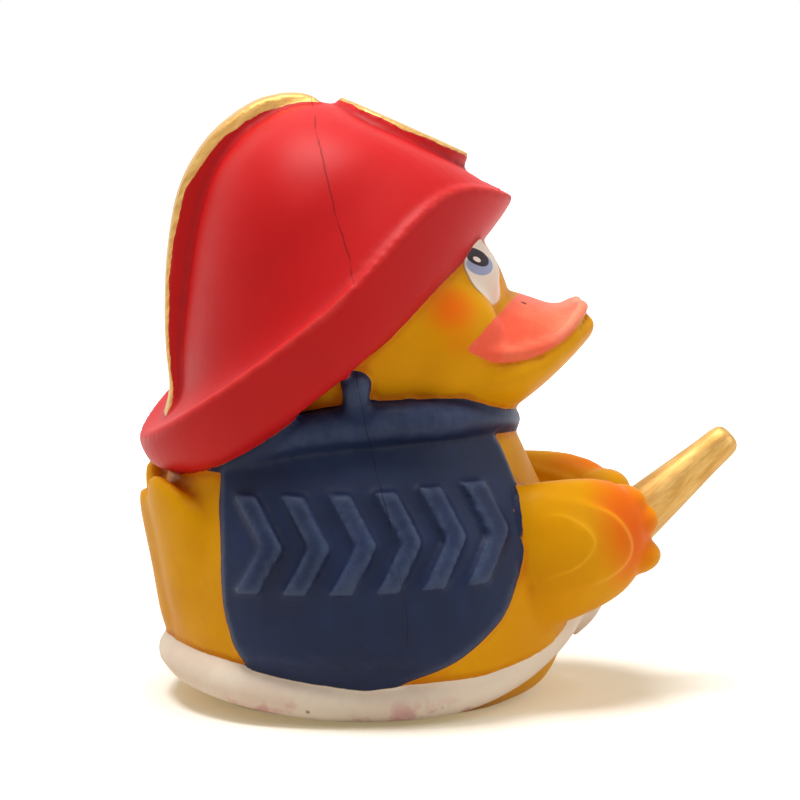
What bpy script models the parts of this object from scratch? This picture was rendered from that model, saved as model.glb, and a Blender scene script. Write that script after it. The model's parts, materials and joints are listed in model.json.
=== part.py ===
"""A rubber duck dressed as a firefighter, at its real size: one hollow moulding in painted latex.

Metres, +Z up. The origin is the middle of the face that it stands on, and the duck looks along -Y.
Sizes are given as forward (towards -Y), side (away from the middle plane) and up.
"""

import math

import bmesh
import bpy
from mathutils import Matrix, Vector
from mathutils.bvhtree import BVHTree

# Over all: from the tail's tip to the nozzle's tip, across the arrowheads, and to the crest's top.
# The tables below are drawn at these sizes, and are stretched when one of them changes.
LENGTH = 0.0840
WIDTH = 0.0642
HEIGHT = 0.0854

# The moulding
WALL = 0.0020
VENT_RADIUS = 0.0016
VENT_BACK = 0.0100

# Body, from the base to the neck: up, back, front, half width
BODY_ROWS = (
    (-0.0015, -0.0165, 0.0190, 0.0180),
    (0.0000, -0.0190, 0.0220, 0.0210),
    (0.0020, -0.0222, 0.0262, 0.0248),
    (0.0050, -0.0238, 0.0290, 0.0268),
    (0.0075, -0.0246, 0.0304, 0.0282),
    (0.0100, -0.0260, 0.0315, 0.0295),
    (0.0150, -0.0263, 0.0320, 0.0300),
    (0.0210, -0.0266, 0.0310, 0.0300),
    (0.0270, -0.0264, 0.0286, 0.0286),
    (0.0320, -0.0258, 0.0262, 0.0263),
    (0.0360, -0.0248, 0.0244, 0.0237),
    (0.0400, -0.0235, 0.0226, 0.0220),
    (0.0460, -0.0230, 0.0220, 0.0215),
)

# Head, cheeks and the swelling under each eye: forward, side and up of the middle, then the radii
HEAD_MIDDLE = (0.0008, 0.0, 0.0535)
HEAD_RADII = (0.0222, 0.0246, 0.0192)
CHEEK_MIDDLE = (0.0085, 0.0160, 0.0520)
CHEEK_RADII = (0.0115, 0.0070, 0.0095)
EYE_MIDDLE = (0.0140, 0.0120, 0.0605)
EYE_RADII = (0.0062, 0.0042, 0.0060)

# Lower bill: forward, half width, up of the lip, up of the underside
LOWER_BILL_ROWS = (
    (0.0100, 0.0185, 0.0503, 0.0400),
    (0.0160, 0.0200, 0.0499, 0.0397),
    (0.0215, 0.0186, 0.0496, 0.0405),
    (0.0255, 0.0160, 0.0499, 0.0431),
    (0.0292, 0.0124, 0.0512, 0.0461),
    (0.0322, 0.0087, 0.0528, 0.0488),
    (0.0347, 0.0042, 0.0538, 0.0512),
)

# Upper bill: forward, half width, up of the middle, up of the edge
UPPER_BILL_ROWS = (
    (0.0120, 0.0185, 0.0585, 0.0506),
    (0.0150, 0.0205, 0.0583, 0.0506),
    (0.0180, 0.0194, 0.0580, 0.0501),
    (0.0217, 0.0172, 0.0575, 0.0500),
    (0.0256, 0.0144, 0.0564, 0.0505),
    (0.0290, 0.0108, 0.0553, 0.0520),
    (0.0314, 0.0074, 0.0556, 0.0538),
    (0.0328, 0.0034, 0.0563, 0.0550),
)
UPPER_BILL_THICKNESS = 0.0030
LOWER_BILL_BELLY = 0.7
LIP_RADIUS = 0.0011
LIP_RAISE = 0.0005
LIP_TIP_BACK = 0.0004
LIP_TIP_DROP = 0.0002
LIP_SQUARENESS = 0.35

# Helmet, in a frame of its own that leans back: its middle (forward, up) and its lean.
# A level is its back, its front and its half width, then how high it is at the back,
# halfway to the side, at the side, halfway to the front and at the front.
HELMET_MIDDLE = (-0.0034, 0.0537)
HELMET_LEAN = math.radians(32.2)
HELMET_LEVELS = (
    (-0.0220, 0.0200, 0.0200, -0.0040, -0.0045, -0.0030, -0.0005, -0.0015),
    (-0.0309, 0.0252, 0.0272, -0.0052, -0.0069, -0.0050, -0.0019, -0.0022),
    (-0.0313, 0.0313, 0.0302, 0.0000, 0.0013, 0.0036, 0.0072, 0.0000),
    (-0.0270, 0.0305, 0.0288, 0.0005, 0.0020, 0.0048, 0.0085, 0.0016),
    (-0.0232, 0.0296, 0.0275, 0.0022, 0.0044, 0.0074, 0.0106, 0.0033),
    (-0.0196, 0.0280, 0.0258, 0.0075, 0.0092, 0.0118, 0.0136, 0.0066),
    (-0.0140, 0.0243, 0.0236, 0.0145, 0.0160, 0.0180, 0.0186, 0.0128),
    (-0.0090, 0.0206, 0.0200, 0.0202, 0.0214, 0.0228, 0.0226, 0.0190),
    (-0.0034, 0.0172, 0.0146, 0.0252, 0.0260, 0.0264, 0.0258, 0.0247),
    (0.0020, 0.0136, 0.0076, 0.0279, 0.0281, 0.0282, 0.0279, 0.0270),
    (0.0056, 0.0096, 0.0020, 0.0286, 0.0286, 0.0286, 0.0286, 0.0284),
)

# Crest over the middle of the helmet: its outer line (forward, up), half width and depth
CREST_LINE = (
    (-0.0046, 0.0848),
    (-0.0069, 0.0854),
    (-0.0102, 0.0852),
    (-0.0144, 0.0837),
    (-0.0199, 0.0792),
    (-0.0239, 0.0724),
    (-0.0256, 0.0640),
    (-0.0261, 0.0560),
    (-0.0260, 0.0495),
    (-0.0255, 0.0438),
    (-0.0262, 0.0405),
)
CREST_HALF_WIDTH = 0.0036
CREST_DEPTH = 0.0055

# Badge on the front of the helmet
BADGE_TOP = (-0.0014, 0.0846)
BADGE_FOOT = (0.0170, 0.0760)
BADGE_HALF_WIDTH = 0.0090
BADGE_DEPTH = 0.0046
# Half of its outline, in shares of its half width and its half length
BADGE_SHIELD = ((0.0, 1.0), (0.45, 0.86), (0.8, 0.62), (1.0, 0.15), (0.9, -0.45), (0.5, -0.85), (0.0, -1.0))

# Collar, from the nape round one side to the throat: forward, side, up, radius
COLLAR_LINE = (
    (-0.0225, 0.0000, 0.0340, 0.0022),
    (-0.0205, 0.0100, 0.0346, 0.0022),
    (-0.0160, 0.0175, 0.0366, 0.0025),
    (-0.0090, 0.0216, 0.0397, 0.0027),
    (0.0000, 0.0231, 0.0412, 0.0028),
    (0.0090, 0.0218, 0.0416, 0.0026),
    (0.0160, 0.0168, 0.0414, 0.0022),
    (0.0207, 0.0095, 0.0404, 0.0019),
    (0.0223, 0.0000, 0.0391, 0.0020),
)
TAB_FOOT = (-0.0008, 0.0420)
TAB_TOP = (-0.0009, 0.0466)
TAB_RADIUS = 0.0019
TAB_SIDE = 0.0236
TAB_LEAN = 0.0004

# Vest panels on the sides: their outline as forward and up, and how far they stand proud
VEST_OUTLINE = (
    (-0.0177, 0.0366),
    (-0.0190, 0.0323),
    (-0.0191, 0.0247),
    (-0.0189, 0.0174),
    (-0.0181, 0.0131),
    (-0.0164, 0.0090),
    (-0.0134, 0.0069),
    (-0.0088, 0.0058),
    (-0.0031, 0.0054),
    (0.0020, 0.0058),
    (0.0073, 0.0072),
    (0.0121, 0.0092),
    (0.0164, 0.0123),
    (0.0193, 0.0153),
    (0.0212, 0.0195),
    (0.0222, 0.0242),
    (0.0222, 0.0284),
    (0.0218, 0.0320),
    (0.0208, 0.0350),
    (0.0196, 0.0375),
    (0.0170, 0.0400),
    (0.0100, 0.0418),
    (0.0000, 0.0416),
    (-0.0080, 0.0402),
    (-0.0140, 0.0384),
)
VEST_PROUD = 0.0009

# Raised arrowheads along each panel, in place of lettering
ARROW_COUNT = 6
ARROW_FIRST = (-0.0176, 0.0186)
ARROW_PITCH = (0.0063, 0.0003)
ARROW_HEIGHT = 0.0132
ARROW_STROKE = 0.0030
ARROW_REACH = 0.0034
ARROW_PROUD = 0.0021

# Arms: forward, side and up of the middle, half height, half thickness
ARM_ROWS = (
    (0.0130, 0.0165, 0.0215, 0.0085, 0.0036),
    (0.0200, 0.0166, 0.0217, 0.0092, 0.0040),
    (0.0240, 0.0168, 0.0219, 0.0102, 0.0052),
    (0.0280, 0.0156, 0.0222, 0.0102, 0.0054),
    (0.0320, 0.0136, 0.0227, 0.0096, 0.0052),
    (0.0358, 0.0108, 0.0230, 0.0085, 0.0048),
    (0.0384, 0.0086, 0.0230, 0.0070, 0.0042),
    (0.0404, 0.0070, 0.0226, 0.0050, 0.0033),
    (0.0416, 0.0060, 0.0222, 0.0022, 0.0018),
)
# Layers of feathers on the arms: how far they stand proud and their outline as forward and up
FEATHER_LAYERS = (
    (
        0.0005,
        (
            (0.0228, 0.0305), (0.0280, 0.0303), (0.0347, 0.0280), (0.0378, 0.0248), (0.0383, 0.0217),
            (0.0360, 0.0193), (0.0323, 0.0180), (0.0260, 0.0170), (0.0228, 0.0170),
        ),
    ),
    (
        0.0010,
        (
            (0.0228, 0.0284), (0.0250, 0.0283), (0.0286, 0.0279), (0.0318, 0.0257), (0.0324, 0.0235),
            (0.0303, 0.0211), (0.0269, 0.0199), (0.0228, 0.0196),
        ),
    ),
)
# A feather layer rises out of the wing over this run
FEATHER_START = 0.0225
FEATHER_RUN = 0.0080
# Fingertips: forward, side and up of the middle, then the radii
FINGERS = (
    (0.0372, 0.0062, 0.0286, 0.0044, 0.0034, 0.0028),
    (0.0390, 0.0058, 0.0250, 0.0040, 0.0034, 0.0032),
    (0.0388, 0.0066, 0.0204, 0.0046, 0.0036, 0.0036),
)

# Tail feathers: side of each, and its rows of up, forward, half width, half thickness
TAIL_SIDES = (0.0, 0.0095)
TAIL_ROWS = (
    (0.0085, -0.0238, 0.0062, 0.0022),
    (0.0120, -0.0247, 0.0075, 0.0024),
    (0.0190, -0.0261, 0.0080, 0.0022),
    (0.0250, -0.0276, 0.0072, 0.0019),
    (0.0283, -0.0286, 0.0048, 0.0014),
    (0.0298, -0.0291, 0.0018, 0.0008),
)
TAIL_SIDE_RAISE = 0.0030
TAIL_BEND_RADIUS = 0.0300

# Nozzle, from inside the hands to its tip, and the hose
NOZZLE_BASE = (0.0358, 0.0200)
NOZZLE_TIP = (0.0549, 0.0364)
NOZZLE_BASE_RADIUS = 0.0046
NOZZLE_TIP_RADIUS = 0.0022
# Shares of its length: where its cone is drawn, and then its round end with shares of its tip's radius
NOZZLE_CONE = (0.0, 0.2, 0.4, 0.6, 0.8, 0.94)
NOZZLE_END = ((0.985, 0.85), (1.0, 0.45))
HOSE_RADIUS = 0.0029
# The hose round the base, from the tail round one side to the front: forward, side, up
HOSE_LINE = (
    (-0.0246, 0.0000, 0.0066),
    (-0.0224, 0.0110, 0.0060),
    (-0.0165, 0.0200, 0.0050),
    (-0.0080, 0.0245, 0.0039),
    (0.0000, 0.0256, 0.0035),
    (0.0080, 0.0252, 0.0037),
    (0.0150, 0.0223, 0.0045),
    (0.0215, 0.0175, 0.0060),
    (0.0270, 0.0105, 0.0082),
    (0.0302, 0.0040, 0.0102),
    (0.0310, 0.0000, 0.0108),
)
# and up the front into the hands
RISER_LINE = (
    (0.0305, 0.0000, 0.0095),
    (0.0332, 0.0000, 0.0120),
    (0.0350, 0.0000, 0.0160),
    (0.0364, 0.0000, 0.0205),
)

# Hollow: how high its floor is, how far the body is drawn in there, and the spare for its rounding
CORE_FLOOR = 0.0027
CORE_FLOOR_SHARE = 0.82
CORE_SPARE = 0.0006
CORE_HEAD_SPARE = 0.0004

# Meshing
AROUND = 56
STEPS = 5
HALF_SPAN = 0.05
JOIN_WITHIN = 0.000001
SOFT_VOXEL = 0.0008
SOFT_ROUNDS = 8
VOXEL = 0.0004
ROUNDS = 4
SKIN_TRIANGLES = 10900
CORE_VOXEL = 0.0016
CORE_TRIANGLES = 760
UNTANGLE_ROUNDS = 40
MOST_FOLD = math.radians(140)


TAIL_TIP = min(row[1] for row in TAIL_ROWS)
STRETCH_LENGTH = LENGTH / (NOZZLE_TIP[0] - TAIL_TIP)
STRETCH_WIDTH = WIDTH / (2 * (max(row[3] for row in BODY_ROWS) + ARROW_PROUD))
STRETCH_HEIGHT = HEIGHT / max(up for forward, up in CREST_LINE)


def at(forward, side, up):
    """The point of the scene at these distances from the origin."""
    return Vector((side * STRETCH_WIDTH, -forward * STRETCH_LENGTH, up * STRETCH_HEIGHT))


def between(before, start, end, after, t):
    """The value at t, from 0 to 1, between start and end on a Catmull-Rom curve."""
    linear = end - before
    square = 2 * before - 5 * start + 4 * end - after
    cube = 3 * start - before - 3 * end + after
    return 0.5 * (2 * start + linear * t + square * t * t + cube * t**3)


def add_object(name, mesh):
    """A bmesh as a new object of the scene."""
    data = bpy.data.meshes.new(name)
    mesh.to_mesh(data)
    mesh.free()
    made = bpy.data.objects.new(name, data)
    bpy.context.scene.collection.objects.link(made)
    return made


def smooth_rows(rows, steps=STEPS):
    """The rows with others between them, on a Catmull-Rom curve through each column."""
    found = []
    last = len(rows) - 1
    for i in range(last):
        four = rows[max(i - 1, 0)], rows[i], rows[i + 1], rows[min(i + 2, last)]
        for k in range(steps):
            found.append(tuple(between(*column, k / steps) for column in zip(*four)))
    found.append(tuple(rows[-1]))
    return found


def loft(name, rows, ring_point, steps=STEPS, around=AROUND):
    """A closed skin through one ring of points for each row."""
    mesh = bmesh.new()
    rings = [
        [mesh.verts.new(ring_point(row, math.tau * k / around)) for k in range(around)]
        for row in smooth_rows(rows, steps)
    ]
    for lower, upper in zip(rings, rings[1:]):
        for k in range(around):
            following = (k + 1) % around
            mesh.faces.new((lower[k], lower[following], upper[following], upper[k]))
    mesh.faces.new(rings[0])
    mesh.faces.new(rings[-1])
    bmesh.ops.recalc_face_normals(mesh, faces=mesh.faces)
    return add_object(name, mesh)


def ellipsoid(name, middle, radii):
    forward, side, up = middle
    mesh = bmesh.new()
    bmesh.ops.create_uvsphere(mesh, u_segments=48, v_segments=32, radius=1.0)
    made = add_object(name, mesh)
    swollen = Matrix.Diagonal((*at(-radii[0], radii[1], radii[2]), 1.0))
    made.data.transform(Matrix.Translation(at(forward, side, up)) @ swollen)
    return made


def body(name="body", rows=BODY_ROWS, grow=0.0):
    def ring_point(row, angle):
        up, back, front, half_width = row
        middle = (front + back) / 2
        reach = (front - back) / 2 + grow
        return at(middle + reach * math.cos(angle), (half_width + grow) * math.sin(angle), up)

    return loft(name, rows, ring_point)


def helmet_point(along, side, up):
    """A point given in the helmet's own leaning frame."""
    forward, height = HELMET_MIDDLE
    c, s = math.cos(HELMET_LEAN), math.sin(HELMET_LEAN)
    return at(forward + along * c - up * s, side, height + along * s + up * c)


def through(values, t):
    """The value at t, from 0 to 1, on a smooth line through values that is level at both ends."""
    place = t * (len(values) - 1)
    index = min(int(place), len(values) - 2)
    t = place - index
    after = values[index + 2] if index + 2 < len(values) else values[index]
    return between(values[abs(index - 1)], values[index], values[index + 1], after, t)


def helmet(name="helmet", levels=HELMET_LEVELS, inset=0.0):
    def ring_point(row, angle):
        back, front, half_width = row[:3]
        turned = abs((angle + math.pi) % math.tau - math.pi)
        return helmet_point(
            (front + back) / 2 + ((front - back) / 2 - inset) * math.cos(angle),
            (half_width - inset) * math.sin(angle),
            through(row[3:], 1 - turned / math.pi) - inset,
        )

    return loft(name, levels, ring_point)


def lower_bill():
    def ring_point(row, angle):
        forward, half_width, lip, underside = row
        middle = underside + (lip - underside) * LOWER_BILL_BELLY
        rise = math.sin(angle)
        if rise > 0:
            up = middle + (lip - middle) * rise**LIP_SQUARENESS
        else:
            up = middle + (middle - underside) * rise
        return at(forward, half_width * math.cos(angle), up)

    return loft("lower_bill", LOWER_BILL_ROWS, ring_point)


def upper_bill():
    def ring_point(row, angle):
        forward, half_width, crown, edge = row
        across = math.cos(angle)
        arch = edge + (crown - edge) * (1 - across * across)
        if math.sin(angle) < 0:
            arch -= UPPER_BILL_THICKNESS * -math.sin(angle)
        return at(forward, half_width * across, arch)

    return loft("upper_bill", UPPER_BILL_ROWS, ring_point)


def arm(side_sign, grow=0.0):
    rows = smooth_rows(ARM_ROWS, STEPS)

    def ring_point(row, angle):
        index = min(range(len(rows)), key=lambda i: abs(rows[i][0] - row[0]))
        before, after = rows[max(index - 1, 0)], rows[min(index + 1, len(rows) - 1)]
        heading = math.atan2(after[1] - before[1], after[0] - before[0])
        forward, side, up, half_height, half_thickness = row
        swell = grow * min(max((forward - FEATHER_START) / FEATHER_RUN, 0.0), 1.0)
        out = (half_thickness + swell) * math.cos(angle)
        return at(
            forward - out * math.sin(heading),
            side_sign * (side + out * math.cos(heading)),
            up + (half_height + swell) * math.sin(angle),
        )

    return loft("arm", ARM_ROWS, ring_point)


def tail_feather(side_sign, side):
    def ring_point(row, angle):
        up, forward, half_width, half_thickness = row
        across = side + half_width * math.cos(angle)
        bend = TAIL_BEND_RADIUS - math.sqrt(TAIL_BEND_RADIUS**2 - across**2)
        return at(
            forward + bend + half_thickness * math.sin(angle),
            side_sign * across,
            up + TAIL_SIDE_RAISE * side / TAIL_SIDES[-1],
        )

    return loft("tail_feather", TAIL_ROWS, ring_point)


def tube(name, line, radii):
    """A round bar along the line, whose radius is radii, one number or one for each point."""
    curve = bpy.data.curves.new(name, "CURVE")
    curve.dimensions = "3D"
    curve.bevel_depth = 1.0
    curve.bevel_resolution = 6
    curve.use_fill_caps = True
    points = smooth_rows(line, STEPS)
    spline = curve.splines.new("POLY")
    spline.points.add(len(points) - 1)
    for k, (target, point) in enumerate(zip(spline.points, points)):
        target.co = (*at(*point[:3]), 1.0)
        target.radius = point[3] if len(point) > 3 else radii
    made = bpy.data.objects.new(name, curve)
    bpy.context.scene.collection.objects.link(made)
    return meshed(made)


def meshed(curve_object):
    """The curve object's shape as a mesh object with its caps joined on."""
    graph = bpy.context.evaluated_depsgraph_get()
    graph.update()
    data = bpy.data.meshes.new_from_object(curve_object.evaluated_get(graph))
    mesh = bmesh.new()
    mesh.from_mesh(data)
    bmesh.ops.remove_doubles(mesh, verts=mesh.verts, dist=JOIN_WITHIN)
    bmesh.ops.recalc_face_normals(mesh, faces=mesh.faces)
    mesh.to_mesh(data)
    mesh.free()
    made = bpy.data.objects.new(curve_object.name + "_mesh", data)
    made.matrix_world = curve_object.matrix_world
    bpy.context.scene.collection.objects.link(made)
    bpy.data.objects.remove(curve_object)
    return made


def side_view():
    """Places a flat drawing of forward and up on the middle plane of the duck."""
    along, across, up = at(1, 0, 0), at(0, -1, 0), at(0, 0, 1)
    return Matrix((along, up, across)).transposed().to_4x4()


def prism(name, outline, half_depth=HALF_SPAN, round_corners=True, placed=None):
    """A flat outline given as forward and up, made deep enough to pass through both sides."""
    curve = bpy.data.curves.new(name, "CURVE")
    curve.dimensions = "2D"
    curve.fill_mode = "BOTH"
    curve.extrude = half_depth
    curve.resolution_u = 6
    spline = curve.splines.new("BEZIER")
    spline.use_cyclic_u = True
    spline.bezier_points.add(len(outline) - 1)
    for target, (x, y) in zip(spline.bezier_points, outline):
        target.co = (x, y, 0.0)
        target.handle_left_type = target.handle_right_type = "AUTO" if round_corners else "VECTOR"
    made = bpy.data.objects.new(name, curve)
    made.matrix_world = placed or side_view()
    bpy.context.scene.collection.objects.link(made)
    return meshed(made)


def common(first, second):
    """What two closed shapes have in common, as a new mesh in the place of the first."""
    cut = first.modifiers.new("common", "BOOLEAN")
    cut.operation = "INTERSECT"
    cut.object = second
    graph = bpy.context.evaluated_depsgraph_get()
    graph.update()
    data = bpy.data.meshes.new_from_object(first.evaluated_get(graph))
    first.modifiers.clear()
    first.data = data
    bpy.data.objects.remove(second)
    return first


def joined(name, pieces):
    """One mesh object that holds all the pieces, which are used up."""
    mesh = bmesh.new()
    for piece in pieces:
        piece.data.transform(piece.matrix_world)
        mesh.from_mesh(piece.data)
        bpy.data.objects.remove(piece)
    return add_object(name, mesh)


def crest():
    outer = smooth_rows(CREST_LINE, STEPS)
    inner = []
    for k, (x, y) in enumerate(outer):
        (x0, y0), (x1, y1) = outer[max(k - 1, 0)], outer[min(k + 1, len(outer) - 1)]
        length = math.hypot(x1 - x0, y1 - y0)
        inner.append((x - CREST_DEPTH * (y1 - y0) / length, y + CREST_DEPTH * (x1 - x0) / length))
    return prism("crest", list(outer) + inner[::-1], CREST_HALF_WIDTH, round_corners=False)


def badge():
    top = at(BADGE_TOP[0], 0.0, BADGE_TOP[1])
    foot = at(BADGE_FOOT[0], 0.0, BADGE_FOOT[1])
    half = (top - foot).length / 2
    run = (top - foot).normalized()
    across = Vector((1.0, 0.0, 0.0))
    out = across.cross(run)
    if out.z < 0:
        out.negate()
        across.negate()
    middle = (top + foot) / 2 - out * BADGE_DEPTH / 2
    placed = Matrix.Translation(middle) @ Matrix((across, run, out)).transposed().to_4x4()
    right = [(x * BADGE_HALF_WIDTH, y * half) for x, y in BADGE_SHIELD]
    left = [(-x, y) for x, y in reversed(right[1:-1])]
    return prism("badge", right + left, BADGE_DEPTH / 2, placed=placed)


def round_both_sides(line):
    """A line from the middle of the back to the middle of the front, carried on round the other side."""
    return list(line) + [(point[0], -point[1], *point[2:]) for point in reversed(line[:-1])]


def collar():
    return tube("collar", round_both_sides(COLLAR_LINE), None)


def both_sides(make):
    return [make(1), make(-1)]


def soft_forms():
    """The duck itself, without what it wears and holds."""
    forms = [body(), ellipsoid("head", HEAD_MIDDLE, HEAD_RADII), lower_bill()]
    for middle, radii in ((CHEEK_MIDDLE, CHEEK_RADII), (EYE_MIDDLE, EYE_RADII)):
        forward, side, up = middle
        forms += [ellipsoid("swelling", (forward, sign * side, up), radii) for sign in (1, -1)]
    forms += both_sides(arm)
    forms += [tail_feather(1, TAIL_SIDES[0])]
    forms += both_sides(lambda sign: tail_feather(sign, TAIL_SIDES[1]))
    return forms


def lip():
    """The rolled rim of the upper bill."""
    line = [(forward, side, edge + LIP_RAISE) for forward, side, crown, edge in UPPER_BILL_ROWS[1:]]
    forward, side, crown, edge = UPPER_BILL_ROWS[-1]
    line.append((forward - LIP_TIP_BACK, 0.0, edge - LIP_TIP_DROP))
    return tube("lip", round_both_sides(line), LIP_RADIUS)


def nozzle():
    (x0, y0), (x1, y1) = NOZZLE_BASE, NOZZLE_TIP
    taper = NOZZLE_TIP_RADIUS - NOZZLE_BASE_RADIUS
    sections = [(share, NOZZLE_BASE_RADIUS + taper * share) for share in NOZZLE_CONE]
    sections += [(share, NOZZLE_TIP_RADIUS * part) for share, part in NOZZLE_END]
    line = [(x0 + (x1 - x0) * share, 0.0, y0 + (y1 - y0) * share, radius) for share, radius in sections]
    return tube("nozzle", line, None)


def hose():
    round_the_base = tube("hose", round_both_sides(HOSE_LINE), HOSE_RADIUS)
    return [round_the_base, tube("hose_riser", RISER_LINE, HOSE_RADIUS)]


def vest():
    return common(body("vest", grow=VEST_PROUD), prism("vest_outline", VEST_OUTLINE))


def arrows():
    """Arrowheads that point forward on both panels."""
    made = []
    for k in range(ARROW_COUNT):
        x, y = ARROW_FIRST[0] + k * ARROW_PITCH[0], ARROW_FIRST[1] + k * ARROW_PITCH[1]
        outline = (
            (x, y),
            (x + ARROW_STROKE, y),
            (x + ARROW_STROKE + ARROW_REACH, y + ARROW_HEIGHT / 2),
            (x + ARROW_STROKE, y + ARROW_HEIGHT),
            (x, y + ARROW_HEIGHT),
            (x + ARROW_REACH, y + ARROW_HEIGHT / 2),
        )
        plate = prism("arrow_outline", outline, round_corners=False)
        made.append(common(body("arrow", grow=ARROW_PROUD), plate))
    return made


def feathers():
    made = []
    for proud, outline in FEATHER_LAYERS:
        made += both_sides(lambda sign: common(arm(sign, proud), prism("feather_outline", outline)))
    return made


def tab(sign):
    foot = (TAB_FOOT[0], sign * TAB_SIDE, TAB_FOOT[1])
    top = (TAB_TOP[0], sign * (TAB_SIDE + TAB_LEAN), TAB_TOP[1])
    return [tube("tab", [foot, top], TAB_RADIUS), ellipsoid("tab_end", top, (TAB_RADIUS,) * 3)]


def fingers():
    made = []
    for forward, side, up, *radii in FINGERS:
        made += [ellipsoid("finger", (forward, sign * side, up), radii) for sign in (1, -1)]
    return made


def worn_forms():
    """What the duck wears and holds, by name."""
    return {
        "helmet": [helmet()],
        "crest": [crest()],
        "badge": [badge()],
        "upper_bill": [upper_bill(), lip()],
        "collar": [collar()],
        "tab": tab(1) + tab(-1),
        "vest": [vest()],
        "arrow": arrows(),
        "feather": feathers(),
        "finger": fingers(),
        "nozzle": [nozzle()],
        "hose": hose(),
    }


def remeshed(made, voxel):
    """The object's closed pieces as one skin."""
    made.modifiers.new("remesh", "REMESH")
    change = made.modifiers["remesh"]
    change.mode = "VOXEL"
    change.voxel_size = voxel
    change.adaptivity = 0.0
    return applied(made)


def outermost(made):
    """The mesh without the small closed bubbles that are left where forms meet."""
    mesh = bmesh.new()
    mesh.from_mesh(made.data)
    unseen = set(mesh.verts)
    pieces = []
    while unseen:
        front = [unseen.pop()]
        piece = list(front)
        while front:
            linked = [edge.other_vert(vert) for vert in front for edge in vert.link_edges]
            front = [vert for vert in dict.fromkeys(linked) if vert in unseen]
            unseen.difference_update(front)
            piece += front
        pieces.append(piece)
    largest = max(pieces, key=len)
    small = [vert for piece in pieces if piece is not largest for vert in piece]
    bmesh.ops.delete(mesh, geom=small, context="VERTS")
    mesh.to_mesh(made.data)
    mesh.free()
    return made


def smoothed(made, rounds, factor=0.5):
    change = made.modifiers.new("smooth", "SMOOTH")
    change.factor = factor
    change.iterations = rounds
    return applied(made)


def applied(made):
    """The object with its modifiers worked into its mesh."""
    graph = bpy.context.evaluated_depsgraph_get()
    graph.update()
    data = bpy.data.meshes.new_from_object(made.evaluated_get(graph))
    made.modifiers.clear()
    made.data = data
    return made


def skin():
    """The outside of the moulding, before it is hollowed."""
    duck = smoothed(remeshed(joined("soft", soft_forms()), SOFT_VOXEL), SOFT_ROUNDS)
    worn = [piece for pieces in worn_forms().values() for piece in pieces]
    return smoothed(outermost(remeshed(joined("rubber_duck", [duck] + worn), VOXEL)), ROUNDS)


def thinned(made, triangles):
    """The mesh with this many triangles."""
    faces = sum(len(face.vertices) - 2 for face in made.data.polygons)
    made.modifiers.new("triangles", "TRIANGULATE")
    change = made.modifiers.new("thin", "DECIMATE")
    change.ratio = triangles / faces
    return applied(made)


def untangled(made):
    """The mesh in triangles, with the few that cross or fold over smoothed apart."""
    mesh = bmesh.new()
    mesh.from_mesh(made.data)
    bmesh.ops.triangulate(mesh, faces=mesh.faces)
    for attempt in range(UNTANGLE_ROUNDS):
        mesh.faces.ensure_lookup_table()
        mesh.normal_update()
        tree = BVHTree.FromBMesh(mesh)
        crossed = set()
        for a, b in tree.overlap(tree):
            first, second = set(mesh.faces[a].verts), set(mesh.faces[b].verts)
            if not first & second:
                crossed |= first | second
        for edge in mesh.edges:
            if edge.calc_face_angle(0.0) > MOST_FOLD:
                crossed |= {vert for face in edge.link_faces for vert in face.verts}
        if not crossed:
            break
        bmesh.ops.smooth_vert(
            mesh, verts=list(crossed), factor=0.5, use_axis_x=True, use_axis_y=True, use_axis_z=True
        )
    mesh.to_mesh(made.data)
    mesh.free()
    return made


def core():
    """The hollow inside: the body, the head and the crown of the helmet, smaller by the wall."""
    sides = BODY_ROWS[3:]
    floor = (CORE_FLOOR, *[value * CORE_FLOOR_SHARE for value in sides[0][1:]])
    head_radii = [radius - WALL - CORE_HEAD_SPARE for radius in HEAD_RADII]
    inside = [
        body("core_body", [floor, *sides], -WALL - CORE_SPARE),
        ellipsoid("core_head", HEAD_MIDDLE, head_radii),
        helmet("core_crown", HELMET_LEVELS[4:-1], WALL + CORE_SPARE),
    ]
    made = smoothed(remeshed(joined("core", inside), CORE_VOXEL), SOFT_ROUNDS)
    return untangled(thinned(made, CORE_TRIANGLES))


def block(name, size, middle):
    mesh = bmesh.new()
    bmesh.ops.create_cube(mesh, size=1.0)
    made = add_object(name, mesh)
    made.data.transform(Matrix.Translation(middle) @ Matrix.Diagonal((*size, 1.0)))
    return made


def vent():
    mesh = bmesh.new()
    bmesh.ops.create_cone(
        mesh, cap_ends=True, segments=20, radius1=VENT_RADIUS, radius2=VENT_RADIUS, depth=6 * WALL
    )
    made = add_object("vent", mesh)
    made.data.transform(Matrix.Translation(at(-VENT_BACK, 0.0, WALL / 2)))
    return made


def latex(name, colour):
    made = bpy.data.materials.new(name)
    made.use_nodes = True
    shader = made.node_tree.nodes["Principled BSDF"]
    shader.inputs["Base Color"].default_value = (*colour, 1.0)
    shader.inputs["Roughness"].default_value = 0.45
    return made


def placed_in(collection, made):
    for held in made.users_collection:
        held.objects.unlink(made)
    collection.objects.link(made)


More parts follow.
